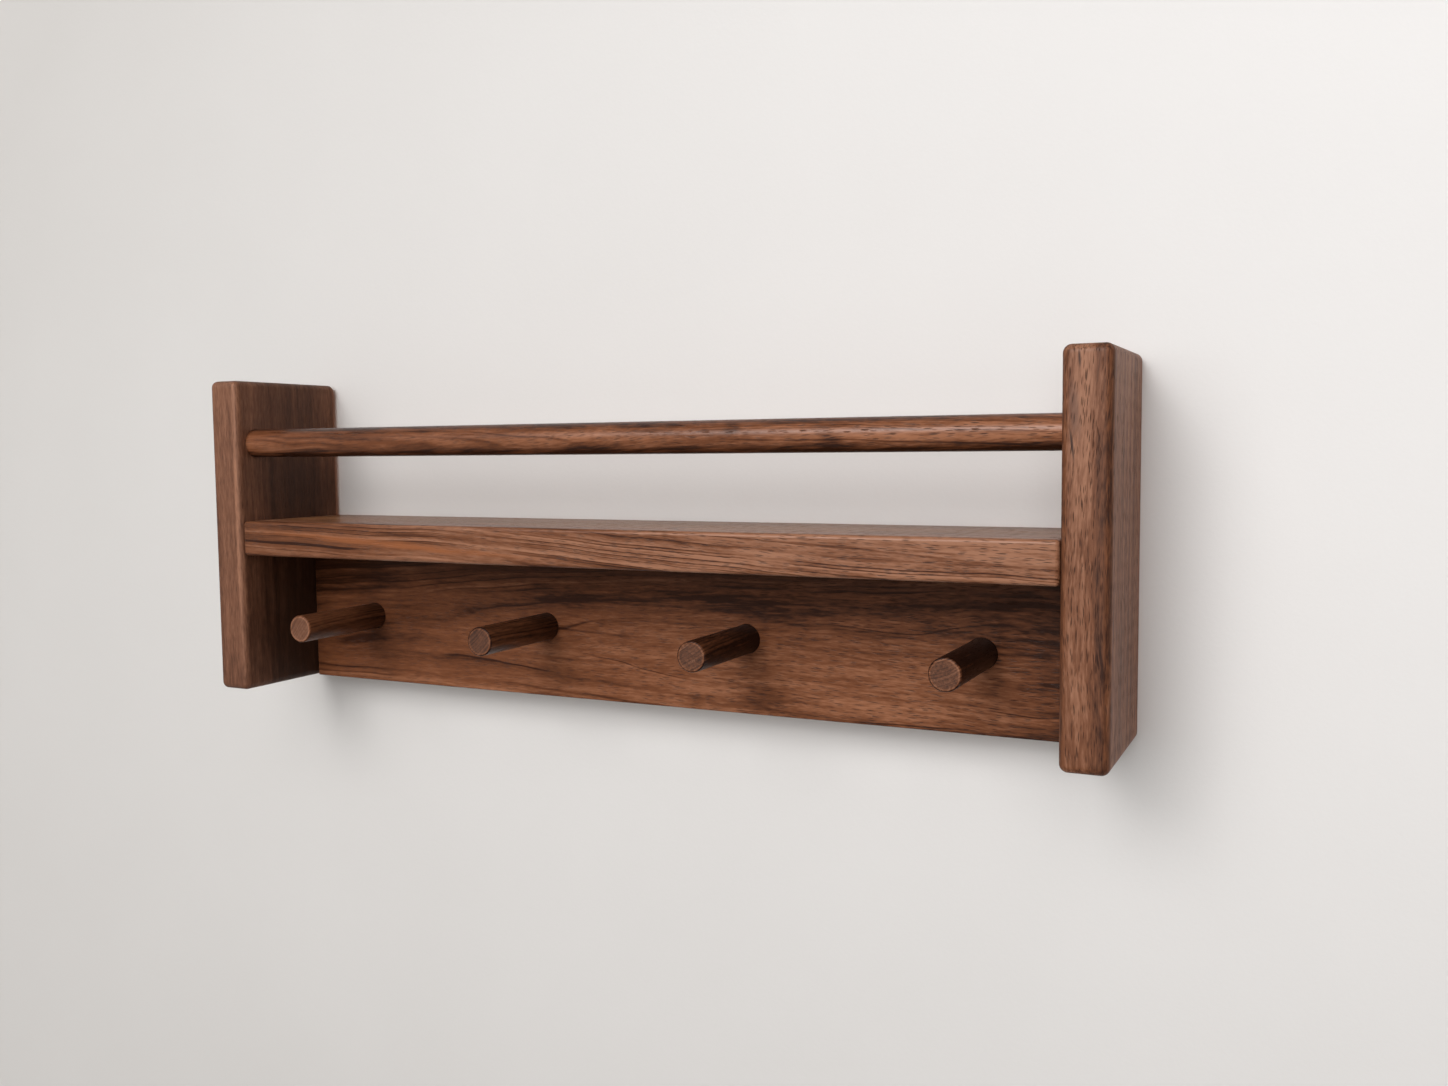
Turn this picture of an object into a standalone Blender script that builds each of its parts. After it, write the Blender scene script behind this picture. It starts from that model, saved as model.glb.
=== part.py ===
"""A small walnut wall shelf: two end panels, a shelf board, a back board with four pegs and a guard rail.

Metres, +Z up. The wall is the plane y = 0 and the shelf stands out of it towards -Y. The origin is the middle
of the back board's rear face, which rests on the wall. Heights are measured from the foot of the end panels.
"""

from math import cos, pi, sin

import bmesh
import bpy
from mathutils import Vector

# End panels
OVERALL_WIDTH = 0.600
PANEL_HEIGHT = 0.212
PANEL_DEPTH = 0.095
PANEL_THICKNESS = 0.025
PANEL_EDGE_RADIUS = 0.0035

# Shelf board, its front a little behind the fronts of the panels
SHELF_TOP_HEIGHT = 0.1165
SHELF_THICKNESS = 0.0235
SHELF_SETBACK = 0.0015
SHELF_EDGE_RADIUS = 0.0025

# Back board, from the foot of the panels up to the shelf
BACK_THICKNESS = 0.0275
BACK_EDGE_RADIUS = 0.001

# Guard rail
RAIL_DIAMETER = 0.019
RAIL_HEIGHT = 0.1695
RAIL_SETBACK = 0.0165
RAIL_SOCKET_FLOOR = 0.013
RAIL_END_CHAMFER = 0.001

# Pegs, half-way up the back board, the end ones a margin away from the panels' inner faces
PEG_COUNT = 4
PEG_DIAMETER = 0.018
PEG_END_MARGIN = 0.056
PEG_REACH = 0.073
PEG_SOCKET_FLOOR = 0.0085
PEG_TIP_EASE = 0.001

# Wooden dowels in the glued joints
DOWEL_DIAMETER = 0.008
DOWEL_END_DEPTH = 0.016
DOWEL_CHAMFER = 0.001
PANEL_DOWEL_FLOOR = 0.011
SHELF_DOWEL_FLOOR = 0.0095
SHELF_END_DOWELS = 3
SHELF_END_DOWEL_MARGIN = 0.018
BACK_END_DOWELS = 2
BACK_END_DOWEL_MARGIN = 0.0235
BACK_TOP_DOWELS = 3

# Keyhole plates in the rear edges of the panels
PLATE_WIDTH = 0.016
PLATE_LENGTH = 0.044
PLATE_THICKNESS = 0.002
PLATE_BELOW_TOP = 0.018
KEYHOLE_ENTRY_DIAMETER = 0.0095
KEYHOLE_ENTRY_RISE = 0.017
KEYHOLE_SLOT_WIDTH = 0.005
KEYHOLE_SLOT_TRAVEL = 0.011
HEAD_POCKET_WIDTH = 0.012
HEAD_POCKET_DEPTH = 0.009

# Countersunk screws of the plates
SCREW_DIAMETER = 0.0035
SCREW_HEAD_DIAMETER = 0.007
SCREW_LENGTH = 0.016
SCREW_POINT = 0.004
SCREW_END_MARGIN = 0.006
SCREW_SINK = 0.0003
DRIVE_SPAN = 0.004
DRIVE_WIDTH = 0.0009
DRIVE_DEPTH = 0.001

# Clearances
FACE_GAP = 0.0003
ROUND_GAP = 0.0002
HOLE_END_GAP = 0.0005
CUT_MARGIN = 0.002

# Facets
ROUND_SIDES = 36
SMALL_SIDES = 20
PANEL_EDGE_STEPS = 4
BOARD_EDGE_STEPS = 3
TIP_STEPS = 2

# Places worked out from the sizes above
BACK_HEIGHT = SHELF_TOP_HEIGHT - SHELF_THICKNESS
FOOT_Z = -BACK_HEIGHT / 2
INNER_WIDTH = OVERALL_WIDTH - 2 * PANEL_THICKNESS
PANEL_CENTRE_X = (OVERALL_WIDTH - PANEL_THICKNESS) / 2
BOARD_LENGTH = INNER_WIDTH - 2 * FACE_GAP
SHELF_DEPTH = PANEL_DEPTH - SHELF_SETBACK
SHELF_MIDDLE_Z = FOOT_Z + SHELF_TOP_HEIGHT - SHELF_THICKNESS / 2
SHELF_UNDERSIDE_Z = SHELF_MIDDLE_Z - SHELF_THICKNESS / 2
BACK_MIDDLE_Y = -BACK_THICKNESS / 2
PEG_SPAN = INNER_WIDTH - 2 * PEG_END_MARGIN
PEG_PITCH = PEG_SPAN / max(PEG_COUNT - 1, 1)
PLATE_FOOT_Z = FOOT_Z + PANEL_HEIGHT - PLATE_BELOW_TOP - PLATE_LENGTH
KEYHOLE_ENTRY_Z = PLATE_FOOT_Z + KEYHOLE_ENTRY_RISE
SIDES = {"left": -1, "right": 1}


def clear_scene():
    """Removes every object of the scene."""
    for obj in list(bpy.data.objects):
        bpy.data.objects.remove(obj, do_unlink=True)


def principled(name, colour, roughness, metallic=0.0):
    """A plain Principled material."""
    material = bpy.data.materials.new(name)
    material.use_nodes = True
    shader = material.node_tree.nodes["Principled BSDF"]
    shader.inputs["Base Color"].default_value = (*colour, 1.0)
    shader.inputs["Roughness"].default_value = roughness
    shader.inputs["Metallic"].default_value = metallic
    return material


def add_object(name, mesh, parent, material=None):
    """Puts a mesh into the scene as a named object, its place and material as given."""
    obj = bpy.data.objects.new(name, mesh)
    bpy.context.scene.collection.objects.link(obj)
    obj.parent = parent
    if material is not None:
        mesh.materials.append(material)
    return obj


def mesh_from(name, bm):
    """Turns a bmesh into a mesh with its normals facing out."""
    bmesh.ops.recalc_face_normals(bm, faces=bm.faces)
    mesh = bpy.data.meshes.new(name)
    bm.to_mesh(mesh)
    bm.free()
    return mesh


def box_mesh(name, size):
    """A box of this size about its own middle."""
    bm = bmesh.new()
    bmesh.ops.create_cube(bm, size=1.0)
    bmesh.ops.scale(bm, vec=Vector(size), verts=bm.verts)
    return mesh_from(name, bm)


def turned_mesh(name, profile, sides):
    """A solid turned about Z from (radius, height) points that start and end on the axis, top to bottom."""
    bm = bmesh.new()
    points = [bm.verts.new((radius, 0.0, height)) for radius, height in profile]
    edges = [bm.edges.new(pair) for pair in zip(points, points[1:])]
    bmesh.ops.spin(
        bm, geom=points + edges, cent=(0, 0, 0), axis=(0, 0, 1), angle=2 * pi, steps=sides, use_merge=True
    )
    bmesh.ops.remove_doubles(bm, verts=bm.verts, dist=1e-6)
    mesh = mesh_from(name, bm)
    mesh.shade_smooth()
    mesh.set_sharp_from_angle(angle=pi / 6)
    return mesh


def slot_mesh(name, width, travel, depth):
    """A round-ended slot, standing along Z from its lower centre, cut from y = 0 to y = -depth."""
    bm = bmesh.new()
    radius = width / 2
    half = SMALL_SIDES // 2
    rim = []
    for centre_z, start in ((travel, 0), (0.0, half)):
        for step in range(half + 1):
            angle = 2 * pi * (start + step) / SMALL_SIDES
            rim.append((-radius * cos(angle), 0.0, centre_z + radius * sin(angle)))
    front = bm.faces.new([bm.verts.new(point) for point in rim])
    swept = bmesh.ops.extrude_face_region(bm, geom=[front])
    moved = [item for item in swept["geom"] if isinstance(item, bmesh.types.BMVert)]
    bmesh.ops.translate(bm, vec=(0, -depth, 0), verts=moved)
    bmesh.ops.remove_doubles(bm, verts=bm.verts, dist=1e-6)
    return mesh_from(name, bm)


def place(obj, location, along="Z"):
    """Sets an object's place, with its own Z turned along X, Y or Z."""
    turns = {"X": (0, pi / 2, 0), "Y": (-pi / 2, 0, 0), "Z": (0, 0, 0)}
    obj.location = location
    obj.rotation_euler = turns[along]
    return obj


def cut(target, name, mesh, location, along="Z"):
    """Cuts a hidden shape out of a piece."""
    cutter = place(add_object(name, mesh, target.parent), location, along)
    cutter.hide_render = True
    cutter.display_type = "WIRE"
    modifier = target.modifiers.new(name, "BOOLEAN")
    modifier.operation = "DIFFERENCE"
    modifier.solver = "EXACT"
    modifier.object = cutter


def round_edges(obj, radius, steps):
    """Rounds every edge of a box."""
    bevel = obj.modifiers.new("rounded_edges", "BEVEL")
    bevel.width = radius
    bevel.segments = steps
    bevel.limit_method = "ANGLE"


def rod_profile(radius, length, ease, steps):
    """Half outline of a rod about Z, centred, with both ends eased by quarter rounds (one step is a chamfer)."""
    top = []
    for step in range(steps + 1):
        angle = pi / 2 * (1 - step / steps)
        top.append((radius - ease + ease * cos(angle), length / 2 - ease + ease * sin(angle)))
    bottom = [(across, -up) for across, up in reversed(top)]
    return [(0.0, length / 2), *top, *bottom, (0.0, -length / 2)]


def spread(count, low, high):
    """Evenly spaced places from low to high, or the middle where there is one place."""
    if count == 1:
        return [(low + high) / 2]
    return [low + (high - low) * index / (count - 1) for index in range(count)]


def plain_cylinder(name, diameter, length, sides):
    """A cutter for a round hole, about its own middle along Z."""
    radius = diameter / 2
    profile = [(0.0, length / 2), (radius, length / 2), (radius, -length / 2), (0.0, -length / 2)]
    return turned_mesh(name, profile, sides)


def dowel_hole(depth):
    """A cutter for a dowel hole of this depth, with a margin past its mouth."""
    return plain_cylinder("dowel_hole", DOWEL_DIAMETER + 2 * ROUND_GAP, depth + CUT_MARGIN, SMALL_SIDES)


def shelf_end_dowel_places():
    """(y, z) of the dowels in each end of the shelf board."""
    rows = spread(SHELF_END_DOWELS, SHELF_END_DOWEL_MARGIN - SHELF_DEPTH, -SHELF_END_DOWEL_MARGIN)
    return [(y, SHELF_MIDDLE_Z) for y in rows]


def back_end_dowel_places():
    """(y, z) of the dowels in each end of the back board."""
    rows = spread(BACK_END_DOWELS, FOOT_Z + BACK_END_DOWEL_MARGIN, -FOOT_Z - BACK_END_DOWEL_MARGIN)
    return [(BACK_MIDDLE_Y, z) for z in rows]


def back_top_dowel_places():
    """x of the dowels in the back board's top edge, each midway between two pegs."""
    reach = PEG_PITCH * (BACK_TOP_DOWELS - 1) / 2
    return spread(BACK_TOP_DOWELS, -reach, reach)


def peg_places():
    """x of the pegs."""
    return spread(PEG_COUNT, -PEG_SPAN / 2, PEG_SPAN / 2)


def screw_heights():
    """z of the two screws in each keyhole plate."""
    return [PLATE_FOOT_Z + SCREW_END_MARGIN, PLATE_FOOT_Z + PLATE_LENGTH - SCREW_END_MARGIN]


def make_panel(side, sign, parent, material):
    """An end panel, bored for its dowels and the rail, and recessed at the rear for its keyhole plate."""
    size = (PANEL_THICKNESS, PANEL_DEPTH, PANEL_HEIGHT)
    panel = add_object(f"{side}_end_panel", box_mesh("end_panel", size), parent, material)
    place(panel, (sign * PANEL_CENTRE_X, -PANEL_DEPTH / 2, FOOT_Z + PANEL_HEIGHT / 2))
    round_edges(panel, PANEL_EDGE_RADIUS, PANEL_EDGE_STEPS)
    inner_x = sign * INNER_WIDTH / 2

    dowel_depth = PANEL_THICKNESS - PANEL_DOWEL_FLOOR + HOLE_END_GAP
    for index, (y, z) in enumerate(shelf_end_dowel_places() + back_end_dowel_places()):
        hole = dowel_hole(dowel_depth)
        middle_x = inner_x + sign * (dowel_depth - CUT_MARGIN) / 2
        cut(panel, f"{side}_panel_dowel_hole_{index + 1}", hole, (middle_x, y, z), "X")

    rail_depth = PANEL_THICKNESS - RAIL_SOCKET_FLOOR + FACE_GAP
    socket = plain_cylinder("rail_socket", RAIL_DIAMETER + 2 * ROUND_GAP, rail_depth + CUT_MARGIN, ROUND_SIDES)
    socket_x = inner_x + sign * (rail_depth - CUT_MARGIN) / 2
    cut(panel, f"{side}_rail_socket", socket, (socket_x, RAIL_SETBACK - PANEL_DEPTH, FOOT_Z + RAIL_HEIGHT), "X")

    recess_depth = PLATE_THICKNESS + FACE_GAP
    recess = slot_mesh(
        "plate_recess", PLATE_WIDTH + 2 * FACE_GAP, PLATE_LENGTH - PLATE_WIDTH, recess_depth + CUT_MARGIN
    )
    cut(panel, f"{side}_plate_recess", recess, (panel.location.x, CUT_MARGIN, PLATE_FOOT_Z + PLATE_WIDTH / 2))
    pocket_depth = recess_depth + HEAD_POCKET_DEPTH
    pocket = slot_mesh("head_pocket", HEAD_POCKET_WIDTH, KEYHOLE_SLOT_TRAVEL, pocket_depth + CUT_MARGIN)
    cut(panel, f"{side}_head_pocket", pocket, (panel.location.x, CUT_MARGIN, KEYHOLE_ENTRY_Z))
    for index, z in enumerate(screw_heights()):
        length = SCREW_SINK + SCREW_LENGTH + HOLE_END_GAP + CUT_MARGIN
        pilot = plain_cylinder("pilot_hole", SCREW_DIAMETER + 2 * ROUND_GAP, length, SMALL_SIDES)
        cut(panel, f"{side}_pilot_hole_{index + 1}", pilot, (panel.location.x, CUT_MARGIN - length / 2, z), "Y")


def make_shelf(parent, material):
    """The shelf board, bored at both ends and underneath."""
    size = (BOARD_LENGTH, SHELF_DEPTH, SHELF_THICKNESS)
    shelf = add_object("shelf_board", box_mesh("shelf_board", size), parent, material)
    place(shelf, (0, -SHELF_DEPTH / 2, SHELF_MIDDLE_Z))
    round_edges(shelf, SHELF_EDGE_RADIUS, BOARD_EDGE_STEPS)
    bore_board_ends(shelf, shelf_end_dowel_places())
    depth = SHELF_THICKNESS - SHELF_DOWEL_FLOOR + HOLE_END_GAP
    for index, x in enumerate(back_top_dowel_places()):
        hole = dowel_hole(depth)
        middle_z = SHELF_UNDERSIDE_Z + (depth - CUT_MARGIN) / 2
        cut(shelf, f"shelf_under_hole_{index + 1}", hole, (x, BACK_MIDDLE_Y, middle_z))


def bore_board_ends(board, places):
    """Bores a board's two ends for dowels at these (y, z) places."""
    depth = DOWEL_END_DEPTH + HOLE_END_GAP
    for side, sign in SIDES.items():
        for index, (y, z) in enumerate(places):
            hole = dowel_hole(depth)
            middle_x = sign * (BOARD_LENGTH / 2 - (depth - CUT_MARGIN) / 2)
            cut(board, f"{board.name}_{side}_hole_{index + 1}", hole, (middle_x, y, z), "X")


def make_back(parent, material):
    """The back board, bored for its dowels and pegs."""
    height = BACK_HEIGHT - FACE_GAP
    size = (BOARD_LENGTH, BACK_THICKNESS, height)
    back = add_object("back_board", box_mesh("back_board", size), parent, material)
    place(back, (0, BACK_MIDDLE_Y, FOOT_Z + height / 2))
    round_edges(back, BACK_EDGE_RADIUS, BOARD_EDGE_STEPS)
    bore_board_ends(back, back_end_dowel_places())
    depth = DOWEL_END_DEPTH + HOLE_END_GAP
    for index, x in enumerate(back_top_dowel_places()):
        hole = dowel_hole(depth)
        middle_z = FOOT_Z + height - (depth - CUT_MARGIN) / 2
        cut(back, f"back_top_hole_{index + 1}", hole, (x, BACK_MIDDLE_Y, middle_z))
    socket_depth = BACK_THICKNESS - PEG_SOCKET_FLOOR + FACE_GAP
    for index, x in enumerate(peg_places()):
        width = PEG_DIAMETER + 2 * ROUND_GAP
        socket = plain_cylinder("peg_socket", width, socket_depth + CUT_MARGIN, ROUND_SIDES)
        middle_y = -BACK_THICKNESS + (socket_depth - CUT_MARGIN) / 2
        cut(back, f"peg_socket_{index + 1}", socket, (x, middle_y, 0), "Y")


def make_rail(parent, material):
    """The guard rail, its ends in the panels' sockets."""
    length = INNER_WIDTH + 2 * (PANEL_THICKNESS - RAIL_SOCKET_FLOOR)
    profile = rod_profile(RAIL_DIAMETER / 2, length, RAIL_END_CHAMFER, 1)
    rail = add_object("guard_rail", turned_mesh("guard_rail", profile, ROUND_SIDES), parent, material)
    place(rail, (0, RAIL_SETBACK - PANEL_DEPTH, FOOT_Z + RAIL_HEIGHT), "X")


def make_pegs(parent, material):
    """The pegs, from the floors of their sockets out past the panels' fronts."""
    seat = BACK_THICKNESS - PEG_SOCKET_FLOOR
    profile = rod_profile(PEG_DIAMETER / 2, seat + PEG_REACH, PEG_TIP_EASE, TIP_STEPS)
    middle_y = (-PEG_SOCKET_FLOOR - BACK_THICKNESS - PEG_REACH) / 2
    for index, x in enumerate(peg_places()):
        peg = add_object(f"peg_{index + 1}", turned_mesh("peg", profile, ROUND_SIDES), parent, material)
        place(peg, (x, middle_y, 0), "Y")


def make_dowel(name, length, location, along, parent, material):
    """A chamfered wooden dowel."""
    profile = rod_profile(DOWEL_DIAMETER / 2, length, DOWEL_CHAMFER, 1)
    dowel = add_object(name, turned_mesh("dowel", profile, SMALL_SIDES), parent, material)
    place(dowel, location, along)


def make_dowels(parent, material):
    """The dowels of the shelf's ends, of the back board's ends and of the back board's top edge."""
    panel_depth = PANEL_THICKNESS - PANEL_DOWEL_FLOOR
    length = panel_depth + FACE_GAP + DOWEL_END_DEPTH
    for side, sign in SIDES.items():
        x = sign * (INNER_WIDTH / 2 + panel_depth - length / 2)
        for index, (y, z) in enumerate(shelf_end_dowel_places()):
            make_dowel(f"shelf_dowel_{side}_{index + 1}", length, (x, y, z), "X", parent, material)
        for index, (y, z) in enumerate(back_end_dowel_places()):
            make_dowel(f"back_dowel_{side}_{index + 1}", length, (x, y, z), "X", parent, material)
    shelf_depth = SHELF_THICKNESS - SHELF_DOWEL_FLOOR
    length = shelf_depth + FACE_GAP + DOWEL_END_DEPTH
    z = SHELF_UNDERSIDE_Z + shelf_depth - length / 2
    for index, x in enumerate(back_top_dowel_places()):
        make_dowel(f"shelf_to_back_dowel_{index + 1}", length, (x, BACK_MIDDLE_Y, z), "Z", parent, material)


def screw_profile():
    """Half outline of a countersunk screw, head up at z = 0."""
    head = SCREW_HEAD_DIAMETER / 2
    shank = SCREW_DIAMETER / 2
    cone = head - shank
    return [
        (0.0, 0.0), (head, 0.0), (shank, -cone),
        (shank, SCREW_POINT - SCREW_LENGTH), (0.0, -SCREW_LENGTH),
    ]


def make_plate(side, sign, parent, material):
    """A keyhole plate, flush with its panel's rear edge, with a countersunk hole near each end."""
    x = sign * PANEL_CENTRE_X
    mesh = slot_mesh("keyhole_plate", PLATE_WIDTH, PLATE_LENGTH - PLATE_WIDTH, PLATE_THICKNESS)
    plate = add_object(f"{side}_keyhole_plate", mesh, parent, material)
    place(plate, (x, 0, PLATE_FOOT_Z + PLATE_WIDTH / 2))
    through = PLATE_THICKNESS + 2 * CUT_MARGIN
    entry = plain_cylinder("keyhole_entry", KEYHOLE_ENTRY_DIAMETER, through, SMALL_SIDES)
    cut(plate, f"{side}_keyhole_entry", entry, (x, -PLATE_THICKNESS / 2, KEYHOLE_ENTRY_Z), "Y")
    slot = slot_mesh("keyhole_slot", KEYHOLE_SLOT_WIDTH, KEYHOLE_SLOT_TRAVEL, through)
    cut(plate, f"{side}_keyhole_slot", slot, (x, CUT_MARGIN, KEYHOLE_ENTRY_Z))
    for index, z in enumerate(screw_heights()):
        countersink = turned_mesh("countersink", countersink_profile(), SMALL_SIDES)
        cut(plate, f"{side}_countersink_{index + 1}", countersink, (x, 0, z), "Y")


def countersink_profile():
    """Half outline of the hole for a sunk screw: a mouth past the face, a cone and a shank hole."""
    head = SCREW_HEAD_DIAMETER / 2 + ROUND_GAP
    shank = SCREW_DIAMETER / 2 + ROUND_GAP
    cone_foot = -SCREW_SINK - (head - shank)
    return [
        (0.0, CUT_MARGIN), (head, CUT_MARGIN), (head, -SCREW_SINK),
        (shank, cone_foot), (shank, cone_foot - CUT_MARGIN), (0.0, cone_foot - CUT_MARGIN),
    ]


def make_screws(side, sign, parent, material):
    """The two screws of a keyhole plate, sunk just below its face, with a cross recess."""
    x = sign * PANEL_CENTRE_X
    for index, z in enumerate(screw_heights()):
        mesh = turned_mesh("plate_screw", screw_profile(), SMALL_SIDES)
        screw = add_object(f"{side}_plate_screw_{index + 1}", mesh, parent, material)
        place(screw, (x, -SCREW_SINK, z), "Y")
        for turn, size in enumerate((
            (DRIVE_SPAN, 2 * DRIVE_DEPTH, DRIVE_WIDTH),
            (DRIVE_WIDTH, 2 * DRIVE_DEPTH, DRIVE_SPAN),
        )):
            blade = box_mesh("drive_blade", size)
            cut(screw, f"{side}_drive_{index + 1}_{turn + 1}", blade, (x, -SCREW_SINK, z))


def build():
    """Makes every piece of the shelf."""
    clear_scene()
    walnut = principled("walnut", (0.130, 0.058, 0.030), 0.45)
    beech = principled("beech", (0.560, 0.360, 0.200), 0.60)
    steel = principled("zinc_steel", (0.560, 0.570, 0.580), 0.35, 1.0)

    root = bpy.data.objects.new("wall_shelf", None)
    bpy.context.scene.collection.objects.link(root)

    for side, sign in SIDES.items():
        make_panel(side, sign, root, walnut)
        make_plate(side, sign, root, steel)
        make_screws(side, sign, root, steel)
    make_shelf(root, walnut)
    make_back(root, walnut)
    make_rail(root, walnut)
    make_pegs(root, walnut)
    make_dowels(root, beech)


build()
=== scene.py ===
"""Dresses the walnut wall shelf: fine surfaces for its pieces, their finishes, the wall and the light.

Metres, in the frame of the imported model: the wall is the plane y = 0, the shelf stands out of it towards -Y
and +Z is up. The places and sizes of the pieces are read from that frame.
"""

from __future__ import annotations

import logging
import math
from collections.abc import Sequence
from dataclasses import dataclass, replace
from enum import Enum
from typing import Union

import bpy
import numpy as np
from bpy.types import Material, Mesh, Node, NodeSocket, Object, World
from mathutils import Euler, Matrix, Vector

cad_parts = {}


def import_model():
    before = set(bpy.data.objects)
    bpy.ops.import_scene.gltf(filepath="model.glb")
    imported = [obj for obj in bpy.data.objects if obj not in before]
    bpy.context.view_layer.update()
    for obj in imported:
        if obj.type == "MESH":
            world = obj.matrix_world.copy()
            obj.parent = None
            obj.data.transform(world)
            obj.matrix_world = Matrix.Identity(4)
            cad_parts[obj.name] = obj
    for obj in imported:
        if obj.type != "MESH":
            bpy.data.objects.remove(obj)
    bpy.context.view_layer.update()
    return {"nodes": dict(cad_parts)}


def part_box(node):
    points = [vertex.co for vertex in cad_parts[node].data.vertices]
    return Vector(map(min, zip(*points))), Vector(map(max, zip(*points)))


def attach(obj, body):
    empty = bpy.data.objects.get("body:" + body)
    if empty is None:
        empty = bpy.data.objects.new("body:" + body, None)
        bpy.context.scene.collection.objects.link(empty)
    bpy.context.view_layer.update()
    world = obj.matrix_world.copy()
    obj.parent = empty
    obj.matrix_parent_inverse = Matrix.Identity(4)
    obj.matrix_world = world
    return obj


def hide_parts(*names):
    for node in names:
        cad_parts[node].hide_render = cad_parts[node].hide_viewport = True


LOG = logging.getLogger("wall_shelf")
BODY = "root"

Colour = tuple[float, float, float]
Place = tuple[float, float, float]
Pair = tuple[float, float]
Surface = tuple[np.ndarray, np.ndarray]

# What an input of a node takes: another node's output, a number, or a vector or colour
Feed = Union[NodeSocket, float, Sequence[float]]

# Meshing: points in one weld cell are one point, and the phase keeps round numbers off the cells' rims.
# A guard line, a share of the radius away from a rounding, keeps the flat beside it shaded flat.
WELD_DISTANCE = 1e-6
WELD_PHASE = 0.37
SHARP_ANGLE = math.radians(32)
GUARD_SHARE = 0.15
CUTTER_OVERRUN = 0.002

# How often the frame has each repeated piece
PEGS = 4
PLATE_SCREWS = 2
END_DOWELS = {"shelf": 3, "back": 2}
UPRIGHT_DOWELS = 3

# Tone of each peg's wood from the left, along it and on its tip
PEG_TONES = (0.33, 0.27, 0.04, -0.21)
PEG_TIP_TONES = (0.65, 0.29, 0.37, 0.41)


class Side(Enum):
    """The two ends of the shelf as seen from the room."""

    LEFT = "left"
    RIGHT = "right"


class Axis(Enum):
    """An axis of the frame."""

    X = 0
    Y = 1
    Z = 2


class Grain(Enum):
    """The way that the fibres of a piece run, as the axis that they follow."""

    LENGTHWAYS = Axis.X
    OUTWARDS = Axis.Y
    UPRIGHT = Axis.Z

    @property
    def index(self) -> int:
        """Number of the axis."""
        return self.value.value


@dataclass(frozen=True)
class Box:
    """The box that a piece of the frame fills."""

    low: np.ndarray
    high: np.ndarray

    @classmethod
    def of(cls, node: str) -> Box:
        """The box of a node of the frame."""
        low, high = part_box(node)
        return cls(np.array(low), np.array(high))

    @property
    def size(self) -> np.ndarray:
        """Lengths of the three sides."""
        return self.high - self.low

    @property
    def centre(self) -> np.ndarray:
        """The middle of the box."""
        return (self.low + self.high) / 2

    @property
    def front(self) -> np.ndarray:
        """The middle of the face towards the room."""
        return np.array([self.centre[0], self.low[1], self.centre[2]])

    @property
    def rear(self) -> np.ndarray:
        """The middle of the face towards the wall."""
        return np.array([self.centre[0], self.high[1], self.centre[2]])

    def rod(self, axis: Axis) -> Pair:
        """Length and radius of a rod that fills the box along an axis."""
        return self.size[axis.value], self.size[(axis.value + 2) % 3] / 2


def numbered(stem: str, count: int) -> list[str]:
    """Names of repeated nodes, counted from 1."""
    return [f"{stem}_{number}" for number in range(1, count + 1)]


def end_dowels(board: str, *sides: Side) -> list[str]:
    """Nodes of the dowels between a board and the end panels of some sides."""
    return [node for side in sides for node in numbered(f"{board}_dowel_{side.value}", END_DOWELS[board])]


# Surfaces worked out as whole arrays


def grid_quads(rows: int, columns: int, first: int = 0) -> np.ndarray:
    """Faces of a grid whose points are numbered row by row.

    Args:
        rows: points along the first parameter.
        columns: points along the second parameter.
        first: number of the grid's first point.

    Returns:
        One row of four point numbers for each face.
    """
    number = first + np.arange(rows * columns).reshape(rows, columns)
    corners = (number[:-1, :-1], number[1:, :-1], number[1:, 1:], number[:-1, 1:])
    return np.stack(corners, axis=-1).reshape(-1, 4)


def block_lines(half: float, radius: float, round_steps: int, cell: float) -> np.ndarray:
    """Grid lines across one side of a block, from -half to half.

    Over the rounding, the line at angle a lies at half - radius + radius * tan(a), for a from 0 to 45
    degrees, so that the rounded surface turns by even steps. A guard line just inside keeps the flat
    shaded flat.

    Args:
        half: half the side's length.
        radius: radius of the rounding.
        round_steps: steps over half of the rounding.
        cell: largest step over the flat.

    Returns:
        The lines in rising order.
    """
    core = half - radius
    guard = core - GUARD_SHARE * radius
    flat = np.linspace(-guard, guard, max(2, math.ceil(2 * guard / cell) + 1))
    bend = core + radius * np.tan(np.linspace(0.0, math.pi / 4, round_steps + 1))
    return np.concatenate([-bend[::-1], flat, bend])


def rounded_block(box: Box, radius: float, round_steps: int, cell: float) -> Surface:
    """Surface of a block with every edge and corner rounded.

    Each of the six sides is a grid (u, v) on the sharp block. A point q of it goes to core + radius * n,
    where core is q held inside the block shrunk by the radius and n is the unit vector from core to q.

    Args:
        box: the sharp block.
        radius: radius of the rounding.
        round_steps: steps over half of a rounding.
        cell: largest step over a flat.

    Returns:
        Points and faces.
    """
    half = box.size / 2
    lines = [block_lines(h, radius, round_steps, cell) for h in half]
    points, faces, count = [], [], 0
    for axis in range(3):
        across, up = (axis + 1) % 3, (axis + 2) % 3
        for sign in (-1.0, 1.0):
            u, v = np.meshgrid(lines[across], lines[up], indexing="ij")
            sharp = np.empty((*u.shape, 3))
            sharp[..., axis] = sign * half[axis]
            sharp[..., across] = u
            sharp[..., up] = v
            core = np.clip(sharp, radius - half, half - radius)
            outward = sharp - core
            outward /= np.linalg.norm(outward, axis=-1, keepdims=True)
            points.append((core + radius * outward).reshape(-1, 3))
            quads = grid_quads(*u.shape, first=count)
            faces.append(quads if sign > 0 else quads[:, ::-1])
            count += u.size
    return np.concatenate(points) + box.centre, np.concatenate(faces)


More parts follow.
